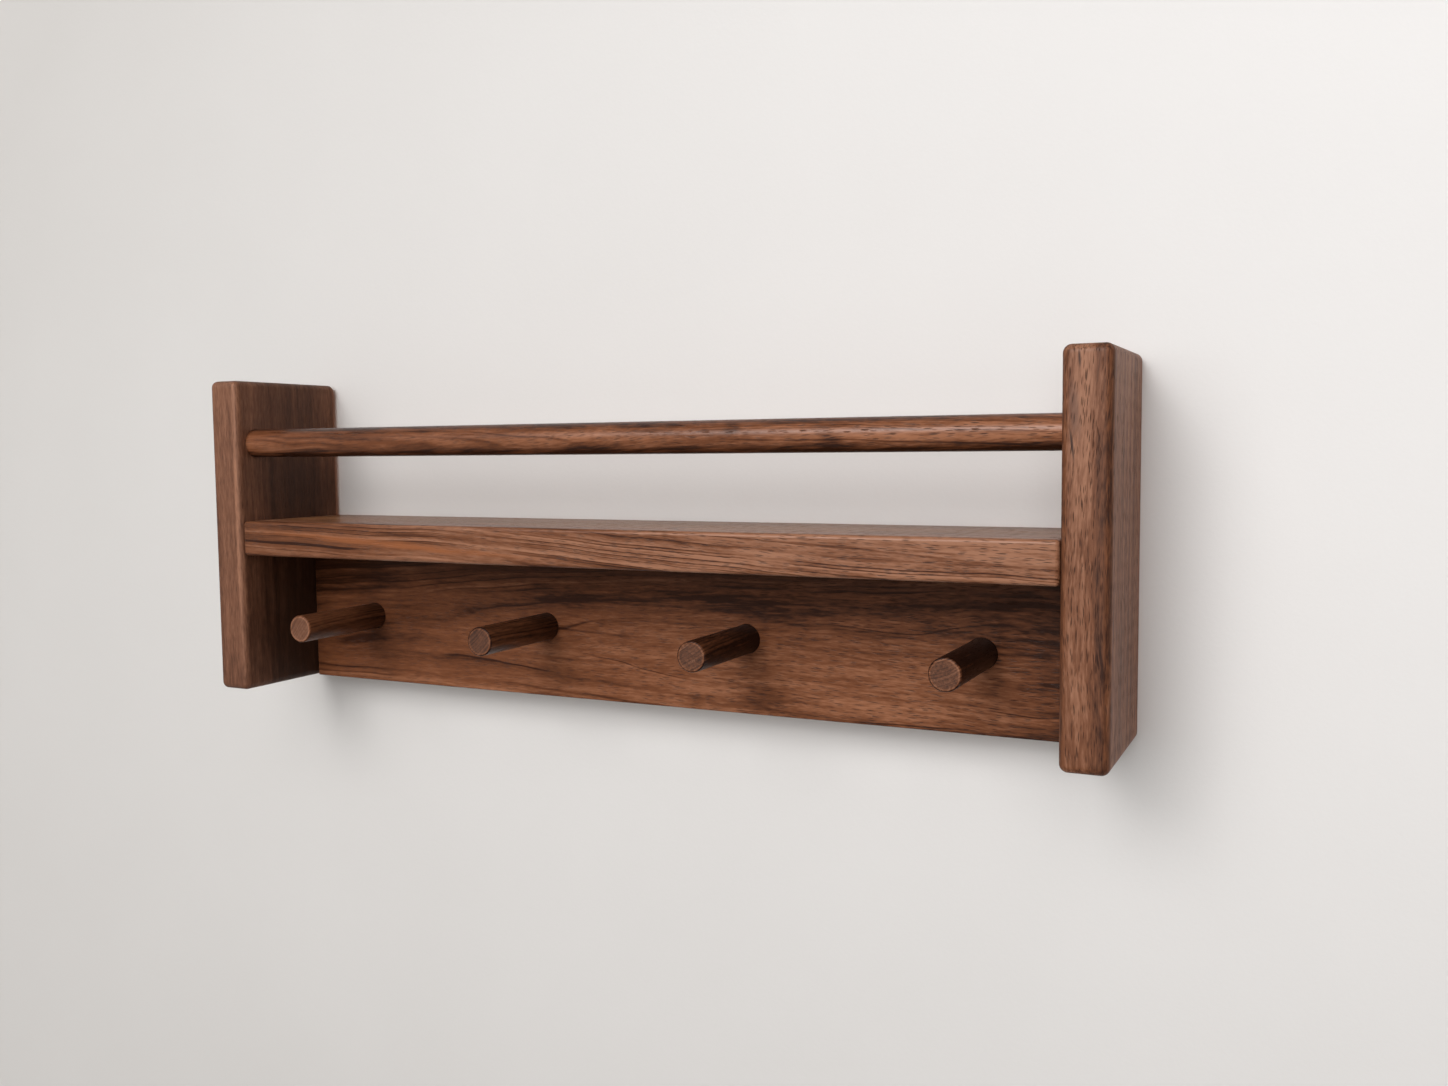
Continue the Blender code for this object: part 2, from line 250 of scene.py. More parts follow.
def carried_round(
    profile: np.ndarray, centre: np.ndarray, axis: Axis, sides: int, travel: float = 0.0
) -> Surface:
    """Surface of a profile carried round an axis, or round a slot where there is travel.

    Point (t, a) is centre + along(t) * axis + radius(t) * (cos a * u + sin a * v), with u and v the next two
    axes. The half with cos a > 0 is moved by travel / 2 along u, and the other half back by as much.

    Args:
        profile: rows of (along, radius), from one end on the axis to the other.
        centre: the middle of the shape.
        axis: the axis that it is carried round.
        sides: steps round it, an even number.
        travel: distance between the centres of a slot's two round ends.

    Returns:
        Points and faces.
    """
    half_turn = np.linspace(-math.pi / 2, math.pi / 2, sides // 2 + 1)
    angle = np.concatenate([half_turn, half_turn + math.pi, half_turn[:1]])
    shift = np.repeat([travel / 2, -travel / 2, travel / 2], [half_turn.size, half_turn.size, 1])
    along, radius = profile[:, :1], profile[:, 1:]
    points = np.empty((len(profile), angle.size, 3))
    points[..., axis.value] = along
    points[..., (axis.value + 1) % 3] = radius * np.cos(angle) + shift
    points[..., (axis.value + 2) % 3] = radius * np.sin(angle)
    return points.reshape(-1, 3) + centre, grid_quads(len(profile), angle.size)


def rod_profile(length: float, radius: float, ease: float, steps: int) -> np.ndarray:
    """Profile of a rod about its middle, its two ends eased by quarter rounds.

    At angle a of the quarter round, along is length / 2 - ease + ease * sin(a) and the radius is
    radius - ease + ease * cos(a).

    Args:
        length: length of the rod.
        radius: radius of the rod.
        ease: radius of the quarter rounds.
        steps: steps over a quarter round.

    Returns:
        Rows of (along, radius).
    """
    angle = np.linspace(0.0, math.pi / 2, steps + 1)
    tip = length / 2
    guard = [[max(tip - ease - 2 * GUARD_SHARE * radius, 0.0), radius]]
    arc = np.stack([tip - ease + ease * np.sin(angle), radius - ease + ease * np.cos(angle)], axis=1)
    cap = [[tip, (radius - ease) * (1 - GUARD_SHARE)], [tip, 0.0]]
    end = np.concatenate([guard, arc, cap])
    return np.concatenate([end[::-1] * (-1.0, 1.0), end])


def plain_profile(low: float, high: float, radius: float) -> np.ndarray:
    """Profile of a plain cylinder from low to high along its axis."""
    return np.array([[low, 0.0], [low, radius], [high, radius], [high, 0.0]])


def weld(points: np.ndarray, quads: np.ndarray) -> Surface:
    """Joins the points of a surface that lie together.

    Each point falls into the cell floor(point / distance + phase), and a cell keeps its first point alone.

    Args:
        points: the points.
        quads: the faces.

    Returns:
        The points that are left, and the faces on them.
    """
    key = np.floor(points / WELD_DISTANCE + WELD_PHASE).astype(np.int64)
    _, first, number = np.unique(key, axis=0, return_index=True, return_inverse=True)
    return points[first], number.reshape(-1)[quads]


def faces_out(points: np.ndarray, quads: np.ndarray) -> np.ndarray:
    """Turns the faces of a closed surface round where they enclose a negative volume.

    Args:
        points: the points.
        quads: the faces, which all look out of the surface or all into it.

    Returns:
        The faces, looking out.
    """
    a, b, c, d = (points[quads[:, corner]] for corner in range(4))
    volume = np.einsum("ij,ij->", a, np.cross(b, c)) + np.einsum("ij,ij->", a, np.cross(c, d))
    return quads if volume > 0 else quads[:, ::-1]


def mesh_of(name: str, surface: Surface) -> Mesh:
    """Puts a closed surface into a mesh, with its seams welded and its poles as triangles.

    Args:
        name: name of the mesh.
        surface: points and faces.

    Returns:
        The mesh, with its faces pointing outwards.
    """
    points, quads = weld(*surface)
    quads = faces_out(points, quads)
    doubled = quads == np.roll(quads, -1, axis=1)
    pinched = doubled.sum(axis=1) == 1
    triangles = quads[pinched][~doubled[pinched]].reshape(-1, 3)
    whole = quads[~doubled.any(axis=1)]
    mesh = bpy.data.meshes.new(name)
    mesh.from_pydata(points.tolist(), [], whole.tolist() + triangles.tolist())
    mesh.update()
    return mesh


def new_object(name: str, data: bpy.types.ID) -> Object:
    """Links a mesh, a lamp or a camera into the scene as an object at the origin.

    Args:
        name: name of the object.
        data: what it shows.

    Returns:
        The object.
    """
    obj = bpy.data.objects.new(name, data)
    bpy.context.scene.collection.objects.link(obj)
    return obj


def carve(name: str, blank: Mesh, cutters: Sequence[Mesh]) -> Mesh:
    """Cuts sockets and recesses out of a blank.

    Args:
        name: name of the finished mesh.
        blank: the closed mesh to cut.
        cutters: closed meshes to take away from it, one after the other.

    Returns:
        The cut mesh, shaded smooth with its corners kept sharp.
    """
    work = new_object(name, blank)
    tools = [new_object(f"{name}_cutter", cutter) for cutter in cutters]
    for tool in tools:
        modifier = work.modifiers.new("socket", "BOOLEAN")
        modifier.operation = "DIFFERENCE"
        modifier.solver = "EXACT"
        modifier.object = tool
    graph = bpy.context.evaluated_depsgraph_get()
    mesh = bpy.data.meshes.new_from_object(work.evaluated_get(graph))
    for obj in (work, *tools):
        bpy.data.objects.remove(obj, do_unlink=True)
    mesh.name = name
    mesh.shade_smooth()
    mesh.set_sharp_from_angle(angle=SHARP_ANGLE)
    return mesh


# Finishes


class NodeBench:
    """Lays the shader nodes of a material or of the world and wires them."""

    # Numbers of the Mix node's sockets for colours
    MIX_FACTOR, MIX_A, MIX_B, MIX_RESULT = 0, 6, 7, 2

    def __init__(self, owner: Material | World) -> None:
        """Turns the owner's nodes on.

        Args:
            owner: the material or world.
        """
        owner.use_nodes = True
        self.owner = owner
        self.tree = owner.node_tree

    @classmethod
    def of_material(cls, name: str) -> NodeBench:
        """The bench of a new material, which starts with a Principled shader."""
        return cls(bpy.data.materials.new(name))

    @property
    def shader(self) -> Node:
        """The material's Principled shader."""
        return self.tree.nodes["Principled BSDF"]

    def feed(self, node: Node, inputs: dict[int | str, Feed]) -> None:
        """Joins inputs of a node to outputs of others, or sets them to a number, a vector or a colour.

        Args:
            node: the node.
            inputs: what goes in, by input name or number.
        """
        for key, value in inputs.items():
            socket = node.inputs[key]
            if isinstance(value, NodeSocket):
                self.tree.links.new(value, socket)
            elif socket.type == "RGBA":
                socket.default_value = (*value, 1.0)
            else:
                socket.default_value = value

    def add(self, kind: str, inputs: dict[int | str, Feed], **settings: object) -> Node:
        """Adds a node.

        Args:
            kind: its Blender type.
            inputs: what goes in, by input name or number.
            settings: the node's own properties.

        Returns:
            The node.
        """
        node = self.tree.nodes.new(kind)
        for key, value in settings.items():
            setattr(node, key, value)
        self.feed(node, inputs)
        return node

    def place(self) -> NodeSocket:
        """Object coordinates, which are places in the frame."""
        return self.add("ShaderNodeTexCoord", {}).outputs["Object"]

    def maths(self, operation: str, *values: Feed, clamp: bool = False) -> NodeSocket:
        """A Math node over one to three numbers."""
        node = self.add("ShaderNodeMath", dict(enumerate(values)), operation=operation, use_clamp=clamp)
        return node.outputs[0]

    def vector(self, operation: str, *values: Feed) -> NodeSocket:
        """A Vector Math node over vectors."""
        node = self.add("ShaderNodeVectorMath", dict(enumerate(values)), operation=operation)
        return node.outputs["Value" if operation in ("LENGTH", "DOT_PRODUCT") else "Vector"]

    def drawn(self, where: Feed, scale: Pair) -> NodeSocket:
        """Places in a log, scaled by as much along the fibres, its x, and by as much across them."""
        return self.vector("MULTIPLY", where, (scale[0], scale[1], scale[1]))

    def noise(self, where: Feed, detail: float, scale: float = 1.0, roughness: float = 0.55) -> NodeSocket:
        """Fractal noise from 0 to 1 over a vector."""
        inputs = {"Vector": where, "Scale": scale, "Detail": detail, "Roughness": roughness}
        return self.add("ShaderNodeTexNoise", inputs).outputs[0]

    def stripes(self, where: Feed, width: float, detail: float, roughness: float = 0.55) -> NodeSocket:
        """Fractal noise from 0 to 1 over one number, in stripes of about a width."""
        inputs = {"W": where, "Scale": 1.0 / width, "Detail": detail, "Roughness": roughness}
        return self.add("ShaderNodeTexNoise", inputs, noise_dimensions="1D").outputs[0]

    def span(self, value: Feed, low: float, high: float, to: Pair = (0.0, 1.0)) -> NodeSocket:
        """Carries a number smoothly from the range low to high over to another range, held at its ends."""
        inputs = {"Value": value, "From Min": low, "From Max": high, "To Min": to[0], "To Max": to[1]}
        return self.add("ShaderNodeMapRange", inputs, interpolation_type="SMOOTHSTEP").outputs["Result"]

    def mix(self, share: Feed, first: Feed, second: Feed) -> NodeSocket:
        """Blends two colours by the share of the second."""
        inputs = {self.MIX_FACTOR: share, self.MIX_A: first, self.MIX_B: second}
        return self.add("ShaderNodeMix", inputs, data_type="RGBA").outputs[self.MIX_RESULT]

    def ramp(self, value: Feed, stops: Sequence[tuple[float, Colour]]) -> NodeSocket:
        """Turns a number into a colour.

        Args:
            value: the number.
            stops: rows of (place, colour) in rising order.

        Returns:
            The colour.
        """
        node = self.add("ShaderNodeValToRGB", {0: value})
        elements = node.color_ramp.elements
        while len(elements) < len(stops):
            elements.new(1.0)
        for element, (place, colour) in zip(elements, stops):
            element.position = place
            element.color = (*colour, 1.0)
        return node.outputs["Color"]

    def bump(self, height: Feed, strength: float, distance: float) -> NodeSocket:
        """A normal from a height between 0 and 1."""
        inputs = {"Height": height, "Strength": strength, "Distance": distance}
        return self.add("ShaderNodeBump", inputs).outputs["Normal"]


@dataclass(frozen=True)
class Cut:
    """How a piece was sawn out of its log."""

    grain: Grain
    pith: Pair
    lean: Pair = (0.0, 0.0)
    along: float = 0.0

    def mapping(self, centre: np.ndarray) -> tuple[Vector, Euler]:
        """Location and rotation of a Mapping node that carries places in the frame into the log.

        In the log, x runs along the fibres from the piece's middle and the pith is the line y = z = 0.

        Args:
            centre: the middle of the piece.

        Returns:
            Location and rotation.
        """
        rows = [Vector(np.eye(3)[(self.grain.index + step) % 3]) for step in range(3)]
        turn = Matrix.Rotation(self.lean[0], 3, "Y") @ Matrix.Rotation(self.lean[1], 3, "Z") @ Matrix(rows)
        shift = -(turn @ Vector(centre)) - Vector((self.along, *self.pith))
        return shift, turn.to_euler("XYZ")


@dataclass(frozen=True)
class Spot:
    """A place where the wood's colour differs, by its figure or by painted shade or light: an ellipsoid,
    turned about Y, with an uneven rim and an even core.
    """

    place: Place
    half: Place
    turn: float = 0.0
    wander: float = 1.5
    core: float = 0.15

    def share(self, bench: NodeBench, where: Feed, rim: Feed) -> NodeSocket:
        """How far a point lies in the spot, from 0 outside to 1 in its core.

        Args:
            bench: the material's bench.
            where: places in the frame.
            rim: noise that makes the rim uneven.

        Returns:
            The share.
        """
        turn = (0.0, self.turn, 0.0)
        inputs = {"Vector": where, "Location": self.place, "Rotation": turn, "Scale": self.half}
        inside = bench.add("ShaderNodeMapping", inputs, vector_type="TEXTURE").outputs[0]
        reach = bench.maths("MULTIPLY_ADD", rim, self.wander, bench.vector("LENGTH", inside))
        return bench.span(reach, 1.0 + self.wander / 2, self.core + self.wander / 2)


@dataclass(frozen=True)
class Streak(Spot):
    """A spot of paler or darker figure, painted shade or painted highlight, by a step of tone."""

    tone: float = -0.3


@dataclass(frozen=True)
class StainAndPaintedLight(Spot):
    """A spot of another colour, such as a crack, end grain, painted shade or painted light, laid on to some
    depth.
    """

    colour: Colour = (0.020, 0.008, 0.006)
    depth: float = 0.8


@dataclass(frozen=True)
class Face:
    """The face of a piece towards the room, and how deep the spots on it reach to either side of it."""

    y: float
    deep: float

    @classmethod
    def of(cls, node: str, deep: float) -> Face:
        """The face of a node of the frame."""
        return cls(Box.of(node).front[1], deep)

    def streak(self, place: Pair, half: Pair, **traits: float) -> Streak:
        """A streak about (x, z) with its half width and height on the face, and other fields of a streak."""
        return Streak((place[0], self.y, place[1]), (half[0], self.deep, half[1]), **traits)

    def stain_and_shade(self, place: Pair, half: Pair, **traits: float | Colour) -> StainAndPaintedLight:
        """A mark of another colour about (x, z), real or painted shade, with its half width and height on the
        face, and other fields of the spot.
        """
        return StainAndPaintedLight((place[0], self.y, place[1]), (half[0], self.deep, half[1]), **traits)


@dataclass(frozen=True)
class PoreSize:
    """One size of pores: cells per metre along and across, reach in a cell and share of cells kept."""

    scale: Pair
    reach: float
    kept: float


@dataclass(frozen=True)
class Walnut:
    """Oiled walnut: brown bands along the rings, veins, fine fibres, short dark pores and a satin gloss.

    A width is in metres, a depth is a step of tone, and a scale is waves per metre along and across the
    fibres. The texture grows coarser and the figure livelier from the shelf's left end to its right end.
    """

    dark: Colour = (0.036, 0.0112, 0.0050)
    brown: Colour = (0.170, 0.061, 0.0268)
    pale: Colour = (0.350, 0.160, 0.090)
    pore: Colour = (0.020, 0.007, 0.004)
    tone: float = 0.50
    band_width: float = 0.013
    band_depth: float = 1.2
    line_width: float = 0.0032
    line_depth: float = 0.55
    vein_width: float = 0.0045
    vein_depth: float = 0.40
    vein_half: float = 0.045
    vein_scale: Pair = (9.0, 60.0)
    vein_fade: Pair = (0.40, 0.60)
    fleck_depth: float = 0.55
    fleck_scale: Pair = (14.0, 190.0)
    grain_depth: float = 0.65
    grain_scale: Pair = (120.0, 760.0)
    fibre_depth: float = 0.60
    fibre_scale: Pair = (30.0, 540.0)
    pore_depth: float = 0.55
    pore_sizes: tuple[PoreSize, ...] = (
        PoreSize((120.0, 1500.0), reach=0.36, kept=0.60),
        PoreSize((85.0, 1050.0), reach=0.34, kept=0.45),
    )
    pore_core: float = 0.45
    rim_scale: Pair = (30.0, 300.0)
    wander: float = 0.009
    wander_scale: Pair = (3.5, 9.0)
    ripple: float = 0.0014
    ripple_scale: Pair = (20.0, 55.0)
    coarse: Pair = (0.60, 1.45)
    lively: Pair = (0.70, 1.05)
    end_reach: float = 0.3
    gloss_roughness: float = 0.33
    fibre_roughness: float = 0.16
    pore_roughness: float = 0.20
    specular: float = 0.20
    relief: float = 0.00016
    relief_strength: float = 0.6
    fibre_height: float = 0.5

    def material(self, name: str, cut: Cut, centre: np.ndarray, spots: Sequence[Spot]) -> Material:
        """Builds the walnut of one piece.

        Args:
            name: name of the material.
            cut: how the piece was sawn.
            centre: the middle of the piece.
            spots: places where its figure or colour differs, painted shade and painted highlights among them.

        Returns:
            The material.
        """
        bench = NodeBench.of_material(name)
        where = bench.place()
        location, rotation = cut.mapping(centre)
        log = bench.add("ShaderNodeMapping", {"Vector": where, "Location": location, "Rotation": rotation})
        flow = self.flow(bench, log.outputs[0])
        rim = bench.noise(bench.drawn(flow, self.rim_scale), detail=2.0)
        fibres = bench.noise(bench.drawn(flow, self.fibre_scale), detail=3.0, roughness=0.65)
        pores = self.pores(bench, flow)
        coarse = self.change(bench, where, self.coarse)
        figure = self.figure(bench, flow, self.change(bench, where, self.lively))
        depth = bench.maths("MULTIPLY_ADD", self.texture(bench, flow, fibres), coarse, figure)
        depth = bench.maths("ADD", depth, self.tone)
        for spot in spots:
            if isinstance(spot, Streak):
                depth = bench.maths("MULTIPLY_ADD", spot.share(bench, where, rim), spot.tone, depth)
        colour = bench.ramp(depth, ((0.0, self.dark), (0.5, self.brown), (1.0, self.pale)))
        open_share = bench.maths("MULTIPLY", coarse, self.pore_depth)
        colour = bench.mix(bench.maths("MULTIPLY", pores, open_share, clamp=True), colour, self.pore)
        for spot in spots:
            if isinstance(spot, StainAndPaintedLight):
                share = bench.maths("MULTIPLY", spot.share(bench, where, rim), spot.depth)
                colour = bench.mix(share, colour, spot.colour)
        smooth = self.gloss_roughness - self.fibre_roughness / 2
        dull = bench.maths("MULTIPLY_ADD", fibres, self.fibre_roughness, smooth)
        height = bench.maths("MULTIPLY_ADD", pores, -1.0, bench.maths("MULTIPLY", fibres, self.fibre_height))
        bench.feed(bench.shader, {
            "Base Color": colour,
            "Specular IOR Level": self.specular,
            "Roughness": bench.maths("MULTIPLY_ADD", pores, self.pore_roughness, dull),
            "Normal": bench.bump(height, self.relief_strength, self.relief),
        })
        return bench.owner

    def change(self, bench: NodeBench, where: Feed, ends: Pair) -> NodeSocket:
        """A share that changes smoothly from the shelf's left end to its right end."""
        along = bench.vector("DOT_PRODUCT", where, (1.0, 0.0, 0.0))
        return bench.span(along, -self.end_reach, self.end_reach, ends)

    def flow(self, bench: NodeBench, log: NodeSocket) -> NodeSocket:
        """Moves places in the log sideways by slow and quick waves, so that the fibres wander.

        Args:
            bench: the material's bench.
            log: places in the log.

        Returns:
            The moved places.
        """
        for reach, scale in ((self.wander, self.wander_scale), (self.ripple, self.ripple_scale)):
            inputs = {"Vector": bench.drawn(log, scale), "Scale": 1.0, "Detail": 1.0}
            wave = bench.add("ShaderNodeTexNoise", inputs).outputs["Color"]
            wave = bench.vector("SUBTRACT", wave, (0.5, 0.5, 0.5))
            log = bench.vector("MULTIPLY_ADD", wave, (0.0, 2.0 * reach, 2.0 * reach), log)
        return log

    def texture(self, bench: NodeBench, flow: NodeSocket, fibres: NodeSocket) -> NodeSocket:
        """How far the fibres and the short grain carry the tone up or down.

        Args:
            bench: the material's bench.
            flow: places in the log, moved as the fibres wander.
            fibres: noise of the fibres.

        Returns:
            The step of tone.
        """
        grain = bench.noise(bench.drawn(flow, self.grain_scale), detail=2.0, roughness=0.6)
        short = bench.maths("MULTIPLY", grain, self.grain_depth)
        both = bench.maths("MULTIPLY_ADD", fibres, self.fibre_depth, short)
        return bench.maths("SUBTRACT", both, (self.fibre_depth + self.grain_depth) / 2)

    def figure(self, bench: NodeBench, flow: NodeSocket, lively: NodeSocket) -> NodeSocket:
        """How far the bands, lines, veins and flecks of the figure carry the tone up or down.

        Args:
            bench: the material's bench.
            flow: places in the log, moved as the fibres wander.
            lively: share by which all but the bands show.

        Returns:
            The step of tone.
        """
        ring = bench.vector("LENGTH", bench.vector("MULTIPLY", flow, (0.0, 1.0, 1.0)))
        bands = bench.maths("SUBTRACT", bench.stripes(ring, self.band_width, detail=2.0), 0.5)
        lines = bench.stripes(ring, self.line_width, detail=2.0)
        flecks = bench.noise(bench.drawn(flow, self.fleck_scale), detail=2.0)
        middle = (self.line_depth + self.fleck_depth) / 2
        depth = bench.maths("MULTIPLY_ADD", self.veins(bench, flow, ring), -self.vein_depth, -middle)
        depth = bench.maths("MULTIPLY_ADD", lines, self.line_depth, depth)
        depth = bench.maths("MULTIPLY_ADD", flecks, self.fleck_depth, depth)
        return bench.maths("MULTIPLY_ADD", bands, self.band_depth, bench.maths("MULTIPLY", depth, lively))

    def veins(self, bench: NodeBench, flow: NodeSocket, ring: NodeSocket) -> NodeSocket:
        """Mask of the veins: thin lines where a noise over the rings crosses its middle, coming and going.

        Args:
            bench: the material's bench.
            flow: places in the log, moved as the fibres wander.
            ring: distance from the pith.

        Returns:
            The mask.
        """
        crossing = bench.maths("SUBTRACT", bench.stripes(ring, self.vein_width, detail=0.0), 0.5)
        thin = bench.span(bench.maths("ABSOLUTE", crossing), self.vein_half, 0.0)
        fade = bench.noise(bench.drawn(flow, self.vein_scale), detail=1.0)
        return bench.maths("MULTIPLY", thin, bench.span(fade, *self.vein_fade))

    def pores(self, bench: NodeBench, flow: NodeSocket) -> NodeSocket:
        """Mask of the pores: the hearts of stretched cells, of which only some are kept.

        Args:
            bench: the material's bench.
            flow: places in the log, moved as the fibres wander.

        Returns:
            The mask.
        """
        masks = []
        for size in self.pore_sizes:
            inputs = {"Vector": bench.drawn(flow, size.scale), "Scale": 1.0}
            cells = bench.add("ShaderNodeTexVoronoi", inputs)
            near = bench.span(cells.outputs["Distance"], size.reach, size.reach * self.pore_core)
            pick = bench.vector("DOT_PRODUCT", cells.outputs["Color"], (1.0, 0.0, 0.0))
            masks.append(bench.maths("MULTIPLY", near, bench.maths("LESS_THAN", pick, size.kept)))
        return bench.maths("MAXIMUM", *masks)


@dataclass(frozen=True)
class Beech:
    """Bare beech dowel stock: pale pink-brown with short flecks along the fibres."""

    pale: Colour = (0.600, 0.390, 0.220)
    deep: Colour = (0.470, 0.280, 0.150)
    fleck: Colour = (0.330, 0.180, 0.095)
    fibre_scale: Pair = (30.0, 500.0)
    pale_span: Pair = (0.3, 0.7)
    fleck_ratio: float = 2.2
    fleck_span: Pair = (0.62, 0.70)
    fleck_depth: float = 0.7
    roughness: float = 0.62
    relief: float = 0.0001
    relief_strength: float = 0.4

    def material(self, name: str, grain: Grain) -> Material:
        """Builds the beech of the dowels that run one way.

        Args:
            name: name of the material.
            grain: the way that the dowels run.

        Returns:
            The material.
        """
        bench = NodeBench.of_material(name)
        where = bench.place()
        stretch = np.full(3, self.fibre_scale[1])
        stretch[grain.index] = self.fibre_scale[0]
        fibres = bench.noise(bench.vector("MULTIPLY", where, tuple(stretch)), detail=3.0)
        flecks = bench.noise(bench.vector("MULTIPLY", where, tuple(self.fleck_ratio * stretch)), detail=1.0)
        colour = bench.mix(bench.span(fibres, *self.pale_span), self.deep, self.pale)
        marked = bench.span(flecks, *self.fleck_span, (0.0, self.fleck_depth))
        bench.feed(bench.shader, {
            "Base Color": bench.mix(marked, colour, self.fleck),
            "Roughness": self.roughness,
            "Normal": bench.bump(fibres, self.relief_strength, self.relief),
        })
        return bench.owner


@dataclass(frozen=True)
class ZincSteel:
    """Zinc-plated steel: bluish grey, faintly brushed upright, with dull blotches."""

    bright: Colour = (0.62, 0.64, 0.66)
    dull: Colour = (0.44, 0.45, 0.46)
    metal: float = 0.55
    brush_scale: Place = (3000.0, 3000.0, 60.0)
    blotch_scale: float = 180.0
    blotch_span: Pair = (0.35, 0.68)
    roughness: float = 0.40
    brush_roughness: float = 0.18
    blotch_roughness: float = 0.10
    relief: float = 0.00005
    relief_strength: float = 0.15

    def material(self, name: str) -> Material:
        """Builds the zinc plating.

        Args:
            name: name of the material.

        Returns:
            The material.
        """
        bench = NodeBench.of_material(name)
        where = bench.place()
        brushing = bench.noise(bench.vector("MULTIPLY", where, self.brush_scale), detail=2.0)
        blotches = bench.noise(where, detail=3.0, scale=self.blotch_scale)
        smooth = self.roughness - self.brush_roughness / 2
        rough = bench.maths("MULTIPLY_ADD", brushing, self.brush_roughness, smooth)
        bench.feed(bench.shader, {
            "Base Color": bench.mix(bench.span(blotches, *self.blotch_span), self.bright, self.dull),
            "Metallic": self.metal,
            "Roughness": bench.maths("MULTIPLY_ADD", blotches, self.blotch_roughness, rough),
            "Normal": bench.bump(brushing, self.relief_strength, self.relief),
        })
        return bench.owner


@dataclass(frozen=True)
class Paint:
    """Matt pale wall paint, seen from its front alone, with painted light that makes it a little paler
    towards one corner.

    The share of the high colour at a place is middle + rise . place + z * (twist . place), with a faint
    mottle.
    """

    low: Colour = (0.622, 0.597, 0.571)
    high: Colour = (0.912, 0.887, 0.871)
    middle: float = 0.497
    rise: Place = (0.542, 0.0, 0.395)
    twist: Place = (0.860, 0.0, -0.693)
    mottle: float = 0.12
    mottle_scale: float = 6.0
    roughness: float = 0.85
    tooth: float = 0.0006
    tooth_scale: float = 420.0
    tooth_strength: float = 0.12
    bounce: float = 0.4

    def material(self, name: str) -> Material:
        """Builds the paint. It throws back less light than it shows, and its rear is see-through.

        Args:
            name: name of the material.

        Returns:
            The material.
        """
        bench = NodeBench.of_material(name)
        where = bench.place()
        # Painted light: the share of the high colour grows towards one corner, where the light falls
        # brighter.
        height = bench.vector("DOT_PRODUCT", where, (0.0, 0.0, 1.0))
        rise = bench.vector("DOT_PRODUCT", where, self.rise)
        twist = bench.vector("DOT_PRODUCT", where, self.twist)
        lift = bench.maths("ADD", rise, self.middle - self.mottle / 2)
        lift = bench.maths("MULTIPLY_ADD", height, twist, lift)
        cloud = bench.noise(where, detail=2.0, scale=self.mottle_scale)
        level = bench.maths("MULTIPLY_ADD", cloud, self.mottle, lift, clamp=True)
        indirect = bench.add("ShaderNodeLightPath", {}).outputs["Is Diffuse Ray"]
        thrown = tuple(self.bounce * share for share in self.low)
        tooth = bench.noise(where, detail=2.0, scale=self.tooth_scale)
        bench.feed(bench.shader, {
            "Base Color": bench.mix(indirect, bench.mix(level, self.low, self.high), thrown),
            "Roughness": self.roughness,
            "Normal": bench.bump(tooth, self.tooth_strength, self.tooth),
        })
        clear = bench.add("ShaderNodeBsdfTransparent", {}).outputs[0]
        rear = bench.add("ShaderNodeNewGeometry", {}).outputs["Backfacing"]
        seen = bench.add("ShaderNodeMixShader", {0: rear, 1: bench.shader.outputs[0], 2: clear})
        bench.feed(bench.tree.nodes["Material Output"], {"Surface": seen.outputs[0]})
        return bench.owner


def add_piece(name: str, mesh: Mesh, nodes: Sequence[str], material: Material) -> None:
    """Puts a finished piece into the scene in place of its nodes.

    Args:
        name: name of the piece.
        mesh: its mesh, placed in the frame.
        nodes: the nodes of the frame that it stands for.
        material: its finish.
    """
    mesh.materials.clear()
    mesh.materials.append(material)
    piece = new_object(name, mesh)
    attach(piece, BODY)
    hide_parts(*nodes)
    LOG.info("%s: %d faces, %s", name, len(mesh.polygons), material.name)


# Pieces


@dataclass(frozen=True)
class Clearance:
    """Gaps left around what sits in a socket."""

    round: float = 0.0002
    end: float = 0.0003


def socket_for(node: str, axis: Axis, sides: int, clearance: Clearance = Clearance()) -> Mesh:
    """A cutter for the socket that holds a rod of the frame.

    Args:
        node: the rod's node.
        axis: the axis of the rod.
        sides: steps round the socket.
        clearance: gaps around the rod.

    Returns:
        A plain cylinder about the rod.
    """
    box = Box.of(node)
    length, radius = box.rod(axis)
    half = length / 2 + clearance.end
    profile = plain_profile(-half, half, radius + clearance.round)
    return mesh_of("socket", carried_round(profile, box.centre, axis, sides))


@dataclass
class WalnutPiece:
    """A piece of walnut that stands for one node of the frame."""

    node: str
    slot: str

    @property
    def name(self) -> str:
        """Name of the piece."""
        return f"walnut_{self.node}"

    @property
    def box(self) -> Box:
        """The box that it fills."""
        return Box.of(self.node)

    def mesh(self) -> Mesh:
        """The finished mesh, which each kind of piece makes in its own way."""
        raise NotImplementedError

    def build(self, finish: Walnut, cut: Cut, spots: Sequence[Spot]) -> None:
        """Builds and dresses the piece.

        Args:
            finish: its walnut.
            cut: how it was sawn.
            spots: places where its figure or colour differs, painted shade and painted highlights among them.
        """
        material = finish.material(f"{self.node}_walnut", cut, self.box.centre, spots)
        add_piece(self.name, self.mesh(), [self.node], material)


@dataclass
class Board(WalnutPiece):
    """A board with rounded edges and whatever is cut out of it."""

    edge_radius: float
    round_steps: int = 5
    cell: float = 0.011
    dowel_sides: int = 24
    rod_sides: int = 72

    def cutters(self) -> list[Mesh]:
        """What is cut out of the board: nothing on a plain one."""
        return []

    def dowel_sockets(self, nodes: Sequence[str], axis: Axis) -> list[Mesh]:
        """Cutters for the sockets of dowels."""
        return [socket_for(node, axis, self.dowel_sides) for node in nodes]

    def rod_sockets(self, nodes: Sequence[str], axis: Axis) -> list[Mesh]:
        """Cutters for the sockets of the rail or of pegs."""
        return [socket_for(node, axis, self.rod_sides) for node in nodes]

    def mesh(self) -> Mesh:
        """The board, cut."""
        blank = mesh_of(self.node, rounded_block(self.box, self.edge_radius, self.round_steps, self.cell))
        return carve(self.name, blank, self.cutters())


